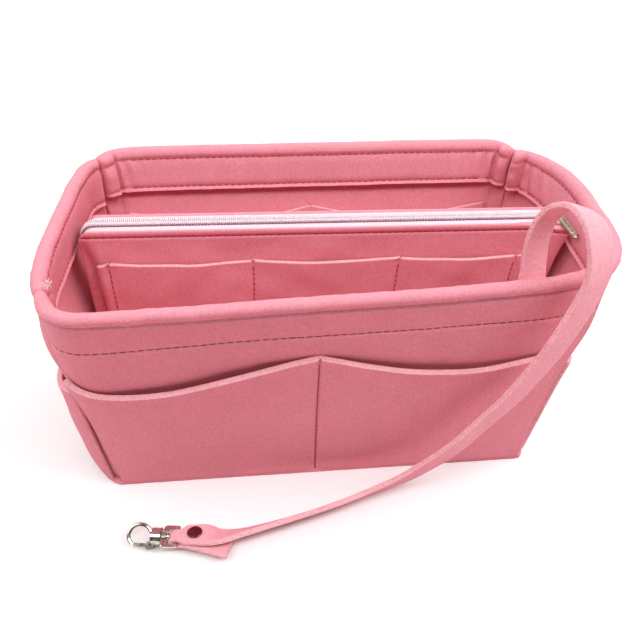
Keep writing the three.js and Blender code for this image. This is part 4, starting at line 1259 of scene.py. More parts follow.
class ORGANIZER_OT_key_strap(bpy.types.Operator):
    bl_idname = "organizer.key_strap"
    bl_label = "Key strap"

    def execute(self, context):
        looks = context.scene.organizer_felt
        points, across, run = strap_route()
        last = len(points) - 1
        places = np.concatenate(
            [np.linspace(0, run, RUN_POINTS)[:-1], np.linspace(run, last, FOLD_POINTS)])
        line = through(points, places)
        ahead = unit(np.gradient(line, axis=0))
        side = through(across, places)
        side = unit(side - ahead * (side * ahead).sum(1, keepdims=True))
        face = np.cross(ahead, side)
        gathered = smooth(places - run, *GATHER_IN) * (1 - smooth(places - run, *GATHER_OUT))
        half = lerp(STRAP_WIDTH, STRAP_FOLD_WIDTH, gathered) / 2
        cut_in = STRAP_CUT_IN * gathered
        length = run_along(line)
        half = half + waviness(STRAP_EDGE_WAVES, length)

        ring = self.section()
        cup = (ring[:, 0] ** 2 - CUP_LEVEL)[None, :] * waviness(STRAP_CUP, length)[:, None]
        rough = np.abs(ring[:, 0])[None, :] > STRAP_FRAY_FROM
        frays = waviness(STRAP_FRAY, length[:, None], FRAY_ACROSS * ring[None, :, 1])
        frays = np.where(rough, frays, 0)
        free = 1 - smooth(places, run - 1, run)
        loft = 1 + STRAP_LOFT * free * smooth(length, *STRAP_LOFT_RUN)
        thick = STRAP_THICK / 2 * loft[:, None] * ring[None, :, 1] + cup * free[:, None]
        wide = (half[:, None] + frays) * ring[None, :, 0]
        wide = wide * np.where(ring[None, :, 0] > 0, 1 - cut_in[:, None], 1)
        rings = line[:, None] + side[:, None] * wide[..., None]
        rings = rings + face[:, None] * thick[..., None]
        outer = np.abs(ring[:, 0]) > STRAP_FLAT
        edge = outer & np.roll(outer, -1)
        cutting = Cutting()
        add_loft(cutting, rings, np.where(np.tile(edge, len(rings) - 1), CUT, FACE), CUT)
        felt = [
            kept("felt_strap", felt_material, tuple(looks.strap_colour), looks),
            kept("felt_strap_edge", felt_material, tuple(looks.cut_colour), looks, True,
                 STRAP_CUT_GRAIN),
        ]
        strap = cutting.piece("key_strap_felt", felt, "tub", "strap_felt")
        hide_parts("key_strap")
        return {"FINISHED"}

    @staticmethod
    def section():
        """Section of the strap in half widths and half thicknesses, with rounded cut edges."""
        flat = np.linspace(-STRAP_FLAT, STRAP_FLAT, FLAT_POINTS)
        upper = [(x, 1.0) for x in flat]
        right = [*STRAP_ROUND, *[(x, -y) for x, y in STRAP_ROUND[::-1]]]
        lower = [(x, -1.0) for x in flat[::-1]]
        left = [(-x, -y) for x, y in right]
        return np.array([*upper, *right, *lower, *left])


class ORGANIZER_OT_walls(bpy.types.Operator):
    """Makes the four hemmed felt walls with their grooves and the gathers at the corners"""

    bl_idname = "organizer.walls"
    bl_label = "Walls"

    def execute(self, context):
        looks = context.scene.organizer_felt
        for side, wall in WALLS.items():
            u = wall_columns(wall)
            inset, z, mark = wall_profile(looks, wall).T
            rings = wall_surface(side, looks, u[:, None], z[None, :], inset[None, :])
            cutting = Cutting()
            add_loft(cutting, rings, np.tile(mark.astype(int), len(rings) - 1))
            piece = cutting.piece(f"{side}_wall_felt", felts(context), "tub", "felt")
            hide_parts(f"{side}_wall")
        return {"FINISHED"}


class ORGANIZER_OT_hem_stitches(bpy.types.Operator):
    """Sews the two rows along the hems, inside and outside"""

    bl_idname = "organizer.hem_stitches"
    bl_label = "Hem stitches"

    def execute(self, context):
        looks = context.scene.organizer_felt
        sew = context.scene.organizer_stitch
        for side, wall in WALLS.items():
            low = low_row(wall)
            rows = [
                (ROW_HIGH_OUT, looks.high_groove, 1), (low, looks.low_groove, 1),
                (ROW_HIGH_IN, HEM_THICK - looks.high_groove * INNER_GROOVE, -1),
                (low, HEM_THICK - looks.low_groove, -1),
            ]
            cutting = Cutting()
            half = wall_length(wall) / 2
            for k, (z, inset, sign) in enumerate(rows):
                start, stop = [
                    1 - (ROW_END + (sign < 0) * RIDGE_CLEAR * CORNER_RIDGES[side, end][0]) / half
                    for end in (-1, 1)]
                u = np.linspace(-start, stop, ROW_POINTS)
                path = wall_surface(side, looks, u, z, inset)
                out = wall_normal(side, u, z, sign)
                add_stitches(cutting, path, out, sew.pitch, sew.length, sew.thick,
                             phase=k * ROW_PHASE, seed=40 + k)
            cutting.piece(f"{side}_hem_stitches", [thread(context)], "tub", "felt")
        tuft = Cutting()
        along, rise = CORNER_TUFT_PLACE
        root = wall_surface("left", looks, along, TUB_HEIGHT + rise, HEM_THICK)
        add_tuft(tuft, root, CORNER_TUFT_WAY, *CORNER_TUFT, seed=47)
        loose = kept("loose_thread", thread_material, tuple(sew.loose_colour))
        tuft.piece("corner_thread_ends", [loose], "tub", "felt")
        return {"FINISHED"}


def pocket_slab(cutting, side, u, share, top, stand, thick=FELT, extra=None, reach=None, way=1,
                high=None):
    """Panel that follows a wall, its outer face at the given depth under the wall's outer face.

    It gives back the face that is seen, on the outside for way 1 and the inside for way -1.
    """
    wall = WALLS[side]
    uu, ss = np.meshgrid(u, share)
    if reach is not None:
        uu = reach(uu, ss)
    z = lerp(FOOT, top(uu), ss)
    inset = stand(uu, ss) + thick / 2
    level = wall_inward(wall, uu, z)
    p = wall_face(wall, uu, z) + level * inset[..., None]
    normal = panel_normals(p, way * level)
    if extra is not None:
        p = p + level * extra(uu, ss, z)[..., None]
    middle = turned(wall["turn"], p)
    normal = turned(wall["turn"], normal)
    high = high or float(np.mean(top(u)) - FOOT)
    span = u[-1] - u[0]
    ends = edge_gaps((u - u[0]) / span, wall_length(wall) * span / 2)
    add_slab(cutting, middle, normal, thick, edge_gaps(share, high), ends)
    return middle - normal * thick / 2, -normal


def pocket_top():
    """Height of the front pocket's edge along the wall, as a smooth curve."""
    places = np.linspace(0, len(POCKET_EDGE) - 1, EDGE_READINGS)
    curve = through(np.array(POCKET_EDGE, float) * [EDGE_STRETCH, 1], places)
    return lambda u: np.interp(u, curve[:, 0] / EDGE_STRETCH, curve[:, 1])


def front_stand(u, share):
    span = np.where(u < POCKET_SEAM, 1 + POCKET_SEAM, POCKET_RIGHT[1] - POCKET_SEAM)
    gape = POCKET_GAPE * np.sin(math.pi * np.clip(np.abs(u - POCKET_SEAM) / span, 0, 1))
    return -GAP - POCKET_THICK - gape * share ** 2


def front_reach(u, share):
    left, right = lerp(*POCKET_LEFT, share), lerp(*POCKET_RIGHT, share)
    return u * np.where(u < 0, -left, right)


def end_stand(u, share):
    across = 1 - (np.abs(u) / END_POCKET_REACH) ** END_POCKET_SQUARENESS
    belly = np.sin(math.pi * END_POCKET_FOLD * share ** END_POCKET_RISE)
    return -GAP - FELT - END_POCKET_GAPE * across * belly


class ORGANIZER_OT_outer_pockets(bpy.types.Operator):
    """Makes the scalloped front pocket with its centre seam and the two end pockets"""

    bl_idname = "organizer.outer_pockets"
    bl_label = "Outer pockets"

    def execute(self, context):
        half = RIM_HALF[0]
        share = edged(OUTER_POCKET_HIGH, FINE_STEP)
        close = POCKET_SEAM + np.array(SEAM_COLUMNS) / half
        u = np.sort(np.concatenate([edged(2 * half, FINE_STEP) * 2 - 1, close]))

        def seam(uu, ss, z):
            off = (uu - POCKET_SEAM) * half
            waves = waviness(FRONT_POCKET_WAVES, uu * half, z) * smooth(ss, 0, CALM_FOOT)
            groove = SEAM_DEPTH * near(off, 0, SEAM_WIDTH)
            return groove + SEAM_DRAW * near(off, 0, DRAW_WIDTH) + waves

        cutting = Cutting()
        face, out = pocket_slab(cutting, "front", u, share, pocket_top(), front_stand,
                                POCKET_THICK, seam, front_reach)
        front = cutting.piece("front_pocket_felt", felts(context), "tub", "felt")
        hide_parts("front_pocket_panel")
        column = int(np.argmin(np.abs(u - POCKET_SEAM)))
        sewn = Cutting()
        add_stitches(sewn, face[2:-4, column], out[2:-4, column], seed=71, **SEAM_STITCH)
        up = np.array([0, 0, 1.0])
        add_tuft(sewn, face[-3, column], out[-3, column] + up, *SEAM_TUFT, seed=72)
        sewn.piece("front_pocket_stitches", [thread(context)], "tub", "felt")

        for side in ("left", "right"):
            long = wall_length(WALLS[side])
            u = (edged(long, FINE_STEP) * 2 - 1) * END_POCKET_REACH

            def waves(uu, ss, z):
                sides = smooth(END_POCKET_REACH - np.abs(uu), 0, CALM_SIDES)
                calm = smooth(ss, 0, CALM_FOOT) * sides
                return waviness(END_POCKET_WAVES, uu * long / 2, z) * calm

            def top(v):
                return lerp(*END_POCKET_TOP, v * v)

            cutting = Cutting()
            pocket_slab(cutting, side, u, share, top, end_stand, extra=waves)
            piece = cutting.piece(f"{side}_pocket_felt", felts(context), "tub", "felt")
            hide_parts(f"{side}_pocket_panel")
        return {"FINISHED"}


class ORGANIZER_OT_inner_pocket(bpy.types.Operator):
    """Makes the scalloped pocket inside the back wall"""

    bl_idname = "organizer.inner_pocket"
    bl_label = "Inner pocket"

    def execute(self, context):
        reach, dip, half = INNER_POCKET_REACH, INNER_POCKET_DIP, RIM_HALF[0]

        def top(u):
            a = np.abs(u) / reach
            peak = np.maximum(0, 1 - a / dip) ** INNER_PEAK_CURVE
            rise = np.maximum(0, (a - dip) / (1 - dip)) ** INNER_END_CURVE
            return np.where(a < dip, lerp(INNER_POCKET_LOW, INNER_POCKET_PEAK, peak),
                            lerp(INNER_POCKET_LOW, INNER_POCKET_END, rise))

        def stand(uu, ss):
            gape = INNER_POCKET_GAPE * smooth(ss, INNER_POCKET_LOOSE, 1)
            gape = gape * (1 - bump(uu * half, *INNER_SEAM))
            return FELT + GAP + gape * np.sin(math.pi * np.abs(uu) / reach) ** 2

        u = (edged(2 * half * reach, INNER_POCKET_STEP) * 2 - 1) * reach
        share = edged(INNER_POCKET_HIGH, WIDE_STEP)
        cutting = Cutting()
        face, out = pocket_slab(cutting, "back", u, share, top, stand, way=-1,
                                high=INNER_POCKET_HIGH)
        piece = cutting.piece("inner_pocket_felt", felts(context), "tub", "felt")
        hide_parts("inner_pocket_panel")
        sew = context.scene.organizer_stitch
        sewn = Cutting()
        column = int(np.argmin(np.abs(u)))
        add_stitches(sewn, face[2:-4, column], out[2:-4, column], thick=sew.thick, seed=91,
                     **INNER_STITCH)
        root = face[-1, column] - out[-1, column] * FELT / 2
        add_tuft(sewn, root, (0, -0.3, 1), *INNER_TUFT, seed=92)
        sewn.piece("inner_pocket_stitches", [thread(context)], "tub", "felt")
        return {"FINISHED"}


# Rounded lower edge of the base: how far it lies inside the outline, and its height.
BASE_EDGE = [(-1.2, 0.0), (-0.5, 0.05), (-0.12, 0.4), (0, 0.9)]
BASE_SIDE_POINTS = 90
BASE_STEP = 2.5
BASE_ROUGH = 0.12


class ORGANIZER_OT_base(bpy.types.Operator):
    """Makes the felt base"""

    bl_idname = "organizer.base"
    bl_label = "Base"

    def execute(self, context):
        sides = []
        u = np.linspace(-1, 1, BASE_SIDE_POINTS)
        ground = np.zeros_like(u)
        for wall in WALLS.values():
            foot = wall_face(wall, u, ground) - wall_inward(wall, u, ground) * (FELT + GAP)
            sides.append(turned(wall["turn"], foot)[:, :2])
        outline = np.concatenate([*sides, sides[0][:1]])
        outline = even(outline, BASE_STEP)[:-1]
        way = unit(outline - np.roll(outline, 1, 0))
        way = unit(way + np.roll(way, -1, 0))
        out = np.stack([way[:, 1], -way[:, 0]], axis=1)
        levels = BASE_EDGE + [(d, FELT - z) for d, z in BASE_EDGE[::-1]]
        rough = BASE_ROUGH * ripple(15, 4, outline[:, 0], outline[:, 1])[:, None]
        rings = []
        for d, z in levels:
            ring = outline + out * (d + rough * (0 < z < FELT))
            rings.append(np.column_stack([ring, np.full(len(ring), z)]))
        cutting = Cutting()
        add_loft(cutting, np.stack(rings))
        piece = cutting.piece("base_felt", felts(context), "tub", "felt")
        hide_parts("base_panel")
        return {"FINISHED"}


# Pouch

def pouch_way(v):
    """A direction in the pouch's own frame, turned as the pouch stands in the tub."""
    c, s = math.cos(POUCH_TURN), math.sin(POUCH_TURN)
    x, y, z = v[..., 0], v[..., 1], v[..., 2]
    return np.stack([x * c - y * s, x * s + y * c, z], axis=-1)


def pouch_place(p):
    """A point in the pouch's own frame, as the pouch stands in the tub."""
    return pouch_way(p) + np.array([0, POUCH_BACK, 0])


def pouch_half(z):
    """Half the pouch's depth at a height."""
    return POUCH_TOP_HALF + (POUCH_TOP - z) * POUCH_LEAN


def pouch_end(side, z):
    """How far the pouch reaches to one side at a height."""
    z = np.asarray(z, float)
    hem = smooth(z, HEM_EDGE - HEM_DEPTH, HEM_EDGE)
    middle = np.zeros_like(z)
    inside = -wall_face(POUCH_ROOM[side], middle, z)[..., 1] - lerp(FELT, HEM_THICK, hem)
    mouth = -wall_face(POUCH_ROOM[side], middle, np.maximum(z, HEM_EDGE))[..., 1] - HEM_THICK
    return np.minimum(inside, mouth) - POUCH_CLEAR


def upright(v):
    """Directions in x and z as directions in space."""
    return np.stack([v[..., 0], np.zeros_like(v[..., 0]), v[..., 1]], axis=-1)


def corner_cut(z, centre, radius, up):
    """How far a rounded corner takes the outline in at a height."""
    off = (z - centre) * up
    inside = np.sqrt(np.maximum(radius ** 2 - np.maximum(off, 0) ** 2, 0))
    return np.where(off > 0, radius - inside, 0)


def pouch_limits(z):
    """Left and right ends of the pouch's outline at heights z."""
    z = np.asarray(z, float)
    foot = corner_cut(z, POUCH_FOOT_END, POUCH_FOOT_ROUND, -1)
    reach = {}
    for side, radius in POUCH_ROUND.items():
        shoulder = POUCH_TOP - radius
        end = pouch_end(side, np.minimum(z, shoulder))
        reach[side] = end - corner_cut(z, shoulder, radius, 1) - foot
    return -reach["left"], reach["right"]


ZIP_LEFT = float(POUCH_ROUND["left"] - pouch_end("left", POUCH_TOP - POUCH_ROUND["left"]))
ZIP_RIGHT = float(pouch_end("right", POUCH_TOP - POUCH_ROUND["right"]) - POUCH_ROUND["right"]
                  - (CAD_POUCH_CLEAR - POUCH_CLEAR))


def pouch_rows():
    """Heights of the points on the pouch's panels, closer at the foot, the stitches and the top."""
    foot = POUCH_FOOT_END - POUCH_FOOT_ROUND * np.cos(np.linspace(0, math.pi / 2, FOOT_POINTS))
    start, stop, count = MIDDLE_ROWS
    middle = np.linspace(FOOT + start, POUCH_TOP - stop, count)
    groove = POUCH_ROW + np.array(GROOVE_ROWS)
    upper = [POUCH_TOP - np.array(down) for down in (UNDER_ROWS, groove, TOP_ROWS)]
    return np.concatenate([foot, middle, *upper])


def front_relief(x, z, left, right):
    """How far the front panel stands out: groove under its top, flare at the right, left pleat."""
    groove = -POUCH_GROOVE * near(z, POUCH_TOP - POUCH_ROW, POUCH_GROOVE_WIDTH)
    flare = POUCH_FLARE * smooth(x, right - FLARE_REACH, right) ** FLARE_CURVE
    flare = flare * smooth(z, *FLARE_RISE)
    off = x - left
    valley = lerp(*PLEAT_PLACES, smooth(z, *PLEAT_SLANT))
    pleat = bump(off, -PLEAT_DEPTH, valley, PLEAT_WIDTH) + bump(off - valley, *PLEAT_FOLD)
    pleat = pleat - bump(off, *PLEAT_TUCK)
    pleat = pleat * (1 - smooth(z, *PLEAT_END)) * smooth(z, *PLEAT_FOOT)
    waves = waviness(POUCH_FRONT_WAVES, x, z) * smooth(POUCH_TOP - z, *CALM_TOP)
    return groove + flare + pleat + waves


def panel_points(rows, share, side):
    """Middle surface of the pouch's front panel, side -1, or back panel, side 1."""
    left, right = pouch_limits(rows)
    x = lerp(left[:, None], right[:, None], share[None, :])
    z = np.broadcast_to(rows[:, None], x.shape)
    if side < 0:
        relief = front_relief(x, z, left[:, None], right[:, None])
    else:
        relief = waviness(POUCH_BACK_WAVES, x, z) * smooth(POUCH_TOP - z, *CALM_TOP)
    relief = relief + POUCH_ROLL * near(z, POUCH_TOP - ROLL_DOWN, ROLL_WIDTH)
    y = side * (pouch_half(z) - POUCH_FELT / 2 + relief)
    drop = BACK_DROP * smooth(z, POUCH_TOP - BACK_DROP_REACH, POUCH_TOP) * (side > 0)
    return np.stack([x, y, z - drop], axis=-1)


class ORGANIZER_OT_pouch(bpy.types.Operator):
    """Makes the pouch's felt panels, its gusset and its pocket panel, with their stitch rows"""

    bl_idname = "organizer.pouch"
    bl_label = "Pouch"

    def execute(self, context):
        sew = context.scene.organizer_stitch
        rows = pouch_rows()
        share = edged(POUCH_LONG, FINE_STEP)
        for side, name in ((-1, "front"), (1, "back")):
            p = panel_points(rows, share, side)
            normal = panel_normals(p, np.array([0, -side, 0]))
            cutting = Cutting()
            add_slab(cutting, pouch_place(p), pouch_way(normal), POUCH_FELT,
                     np.minimum(rows - FOOT, POUCH_TOP - rows), edge_gaps(share, POUCH_LONG),
                     cut=FACE)
            piece = cutting.piece(f"pouch_{name}_felt", felts(context), "pouch", "felt")
            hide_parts(f"pouch_{name}_panel")
            sewn = Cutting()
            row = int(np.argmin(np.abs(rows - (POUCH_TOP - POUCH_ROW))))
            face = pouch_place(p - normal * POUCH_FELT / 2)
            out = -pouch_way(normal)
            add_stitches(sewn, face[row, 4:-4], out[row, 4:-4], sew.pitch, sew.length,
                         sew.thick * POUCH_THREAD, seed=120 + side)
            sewn.piece(f"pouch_{name}_stitches", [thread(context)], "pouch", "felt")
        self.gusset(context)
        self.pocket(context)
        return {"FINISHED"}

    @staticmethod
    def gusset(context):
        """Strip down one end, under the pouch and up the other, folded in along its middle."""
        radius, knee = POUCH_FOOT_ROUND, POUCH_FOOT_END
        z_left = np.linspace(POUCH_TOP - GUSSET_DOWN["left"], knee, GUSSET_POINTS)
        z_right = np.linspace(knee, POUCH_TOP - GUSSET_DOWN["right"], GUSSET_POINTS)
        left = np.column_stack([-pouch_end("left", z_left), z_left])
        right = np.column_stack([pouch_end("right", z_right), z_right])
        start, stop = left[-1, 0] + radius, right[0, 0] - radius
        turn = np.linspace(0, math.pi / 2, FOOT_POINTS)[1:-1]
        near_arc, far_arc = radius * np.cos(turn), radius * np.sin(turn)
        foot_left = np.column_stack([start - near_arc, knee - far_arc])
        foot_right = np.column_stack([stop + far_arc, knee - near_arc])
        floor = np.column_stack(
            [np.linspace(start, stop, FLOOR_POINTS), np.full(FLOOR_POINTS, FOOT)])
        path = np.concatenate([left, foot_left, floor, foot_right, right])
        way = unit(np.gradient(path, axis=0))
        into = np.stack([-way[:, 1], way[:, 0]], axis=1)
        share = edged(GUSSET_WIDE, WIDE_STEP)
        half = pouch_half(path[:, 1]) - POUCH_FELT - GAP
        y = lerp(-half[:, None], half[:, None], share[None, :])
        ends = smooth(path[:, 1], *GUSSET_FOLD_RISE)[:, None]
        fold = GUSSET_FOLD * ends * near(share[None, :], 0.5, GUSSET_FOLD_WIDTH)
        middle = path + into * POUCH_FELT / 2
        x = middle[:, None, 0] + into[:, None, 0] * fold
        z = middle[:, None, 1] + into[:, None, 1] * fold
        p = np.stack(np.broadcast_arrays(x, y, z), axis=-1)
        normal = panel_normals(p, upright(into)[:, None])
        run = run_along(path)
        cutting = Cutting()
        add_slab(cutting, pouch_place(p), pouch_way(normal), POUCH_FELT,
                 np.minimum(run, run[-1] - run), edge_gaps(share, GUSSET_WIDE))
        piece = cutting.piece("pouch_gusset_felt", felts(context), "pouch", "felt")
        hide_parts("pouch_gusset")

    @staticmethod
    def pocket(context):
        """Panel of three pockets on the pouch's front, which it follows a little way off."""
        top, foot = POUCH_TOP - POUCH_POCKET_DOWN, FOOT + GAP
        share_z = edged(top - foot, WIDE_STEP)
        share_x = edged(POUCH_POCKET_LONG, FINE_STEP)
        z_line = lerp(foot, top, share_z)
        low = POUCH_POCKET_LEFT - pouch_end("left", z_line)
        high = pouch_end("right", z_line) - POUCH_POCKET_RIGHT
        x = lerp(low[:, None], high[:, None], share_x[None, :])
        sag = np.zeros_like(x)
        stops = [low[-1] + HEMMED_MARGIN, *DIVIDERS, high[-1]]
        for a, b in zip(stops, stops[1:]):
            t = np.clip((x - a) / (b - a), 0, 1)
            sag = np.maximum(sag, np.sin(math.pi * t))
        lift = smooth(share_z, POUCH_POCKET_LOOSE, 1)[:, None]
        z = z_line[:, None] - POUCH_POCKET_SAG * sag * lift ** 2
        off = sag * lift + waviness(POUCH_POCKET_WAVES, x, z) * sag
        y = -(pouch_half(z) + GAP + POUCH_FELT / 2 + off)
        under = front_relief(x, z, *pouch_limits(z))
        y = y - np.maximum(under, -POUCH_POCKET_SINK)
        for d in DIVIDERS:
            y = y + DIVIDER_GROOVE * near(x, d, DIVIDER_WIDTH)
        margin = x - low[:, None]
        y = y - bump(margin, *MARGIN_ROLL) + bump(margin, *MARGIN_GROOVE)
        p = np.stack([x, y, z], axis=-1)
        normal = panel_normals(p, np.array([0, 1, 0]))
        cutting = Cutting()
        add_slab(cutting, pouch_place(p), pouch_way(normal), POUCH_FELT,
                 edge_gaps(share_z, top - foot), edge_gaps(share_x, POUCH_POCKET_LONG))
        piece = cutting.piece("pouch_pocket_felt", felts(context), "pouch", "felt")
        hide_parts("pouch_pocket_panel")
        face, out = pouch_place(p - normal * POUCH_FELT / 2), -pouch_way(normal)
        sewn = Cutting()
        seams = (low[-1] + HEMMED_MARGIN, *DIVIDERS, high[-1] - HEMMED_MARGIN)
        for k, d in enumerate(seams):
            column = int(np.argmin(np.abs(x[-1] - d)))
            add_stitches(sewn, face[2:-3, column], out[2:-3, column], seed=140 + k,
                         **DIVIDER_STITCH)
            add_tuft(sewn, face[-2, column], (0, -0.5, 1), *DIVIDER_TUFT, seed=150 + k)
        sewn.piece("pouch_pocket_stitches", [thread(context)], "pouch", "felt")


# Zip

ZIP_END_TURN = math.radians(22)


def zip_path(step):
    """The zip's line in x and z with its inward normal, from the right corner to the left one."""
    bends = []
    for side, x, start, stop, count in (
            ("right", ZIP_RIGHT, ZIP_END_TURN, math.pi / 2, 6),
            ("left", ZIP_LEFT, math.pi / 2, math.pi - ZIP_END_TURN, 10)):
        radius, a = POUCH_ROUND[side], np.linspace(start, stop, count)
        z = POUCH_TOP - radius + radius * np.sin(a)
        bends.append(np.column_stack([x + radius * np.cos(a), z]))
    path = even(np.concatenate([bends[0][:-1], bends[1]]), step)
    way = unit(np.gradient(path, axis=0))
    return path, np.stack([-way[:, 1], way[:, 0]], axis=1)


TAPE_STEP = 3.0
TAPE_COLUMNS = 12
TAPE_INNER, TAPE_OUTER = 0.45, 8.2
TAPE_THICK = 0.7
TAPE_DEPTH = 1.4
TAPE_HUMP = 0.35
TAPE_EDGE = 0.3
TAPE_EDGE_DIP, TAPE_DIP_FROM = 0.25, 6.8
COIL_POINTS = 14
COIL_CENTRE = (1.65, 0.1)
COIL_RADII = (1.05, 0.62)
COIL_LEAN = 0.22
COIL_WIRE = 0.36
COIL_SIDES = 6
COIL_THREAD_SINK = 0.45
COIL_THREAD_ROW = 3.6
COIL_THREAD_STEP = 1.0


class ORGANIZER_OT_zip(bpy.types.Operator):
    """Makes the woven tapes, the coil loops and the thread that holds them"""

    bl_idname = "organizer.zip"
    bl_label = "Zip"

    def execute(self, context):
        looks = context.scene.organizer_zip
        tape = kept("zip_tape_weave", tape_material, tuple(looks.tape_colour))
        coil = kept("zip_coil_nylon", nylon_material, tuple(looks.coil_colour))
        sewing = kept("zip_coil_thread", thread_material, tuple(looks.stitch_colour))
        path, into = zip_path(TAPE_STEP)
        run = np.arange(len(path)) * TAPE_STEP
        across = np.linspace(TAPE_INNER, TAPE_OUTER, TAPE_COLUMNS)
        hump = TAPE_HUMP * np.sin(np.linspace(0, math.pi, TAPE_COLUMNS))
        depth = TAPE_DEPTH - (hump - TAPE_EDGE_DIP * smooth(across, TAPE_DIP_FROM, TAPE_OUTER))
        x = path[:, None, 0] + into[:, None, 0] * depth
        z = path[:, None, 1] + into[:, None, 1] * depth
        for sign, side in ((-1, "front"), (1, "back")):
            p = np.stack(np.broadcast_arrays(x, sign * across[None, :], z), axis=-1)
            normal = np.broadcast_to(upright(into)[:, None], p.shape)
            cutting = Cutting()
            add_slab(cutting, pouch_place(p), pouch_way(normal), TAPE_THICK,
                     np.minimum(run, run[-1] - run), across - across[0] + TAPE_EDGE, cut=FACE)
            piece = cutting.piece(f"zip_tape_{side}_weave", [tape], "pouch", "zip_tape")
            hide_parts(f"zip_tape_{side}")
            self.loops(sign, side, looks, coil, sewing)
        return {"FINISHED"}

    @staticmethod
    def loops(sign, side, looks, coil, sewing):
        """One row of coil loops and the thread that holds it to its tape."""
        path, into = zip_path(looks.pitch)
        turn = np.linspace(0, 2 * math.pi, COIL_POINTS, endpoint=False)
        cutting = Cutting()
        shift = 0.5 * looks.pitch if sign > 0 else 0.0
        y = sign * (COIL_CENTRE[0] + COIL_RADII[0] * np.cos(turn))
        up = COIL_CENTRE[1] + COIL_RADII[1] * np.sin(turn)
        lean = shift + COIL_LEAN * looks.pitch * np.cos(turn)
        for (x, z), (nx, nz) in zip(path, into):
            ring = np.stack([x - nx * up + nz * lean, y, z - nz * up - nx * lean], axis=1)
            add_tube(cutting, pouch_place(ring), COIL_WIRE, COIL_SIDES, True, (1, 0, 0))
        piece = cutting.piece(f"zip_coil_{side}_loops", [coil], "pouch", "zip_coil")
        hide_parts(f"zip_coil_{side}")
        path, into = zip_path(COIL_THREAD_STEP)
        line = upright(path + into * COIL_THREAD_SINK)
        line[:, 1] = sign * COIL_THREAD_ROW
        out = pouch_way(upright(-into))
        sewn = Cutting()
        add_stitches(sewn, pouch_place(line), out, seed=160, **COIL_STITCH)
        sewn.piece(f"zip_coil_{side}_stitches", [sewing], "pouch", "zip_coil")


# Slider: plates as rounded rings with a size and a height, and the bridge over them.
SLIDER_SIDES = 48
SLIDER_SQUARENESS = 0.55
SLIDER_HALF = (3.8, 3.7)
SLIDER_TAPER = 0.55
SLIDER_PLATES = ((1.2, 2.6), (-3.5, -2.1))
PLATE_LOWER = ((0.86, 0), (0.97, 0.2), (1.0, 0.6))
PLATE_UPPER = ((0.97, -0.35), (0.84, -0.08), (0.6, 0))
POST = (-2.3, 1.4)
POST_RADIUS, POST_POINTS = 0.3, 5
BAR_HEIGHT = 5.0
BRIDGE = [
    (-1.2, 0, 2.3), (-1.25, 0, 3.6), (-1.0, 0, 4.7), (-0.2, 0, BAR_HEIGHT), (1.2, 0, BAR_HEIGHT),
    (2.6, 0, BAR_HEIGHT), (3.4, 0, 4.7), (3.6, 0, 3.6), (3.55, 0, 2.3),
]
BRIDGE_RADIUS, BRIDGE_POINTS, BRIDGE_SIDES = 0.78, 50, 14
# Pull tab: eye rings round the bridge's bar, a neck, and a leaf with ribs and cross bars.
PULL_PLACE = 1.2
PULL_TILT = math.radians(11)
PULL_LAX = math.radians(12)
EYE_POINTS = 28
EYE_RADIUS, EYE_WIRE = 1.3, 0.42
EYE_PLACES = (-0.95, -0.3, 0.35, 1.0)
NECK, NECK_SIDES = (-1.5, -6.2), 12
NECK_RADII = (0.95, 0.85, 0.8, 0.8, 0.95, 1.1)
# Ends of the leaf: half width, place and depth of the curve.
LEAF_NEAR, LEAF_FAR = (1.9, -7.4, 1.6), (-2.0, -26.2, -1.2)
LEAF_END_POINTS, LEAF_STEP = 13, 0.7
LEAF_LEVELS = ((0.2, -0.45), (0.94, -0.45), (1.0, -0.25), (1.0, 0.25), (0.94, 0.45), (0.2, 0.45))
LEAF_LENGTHWISE = 0.3
LEAF_TOP = 0.45
RIB_PLACES, RIB_RUN, RIB_RADIUS = (-1.35, 1.35), (-8, -24.6), 0.45
CROSS_PLACES, CROSS_RUN, CROSS_RADIUS = (-23.4, -25.4), (-1.7, 1.7), 0.5
RIB_POINTS, CROSS_POINTS = 12, 6


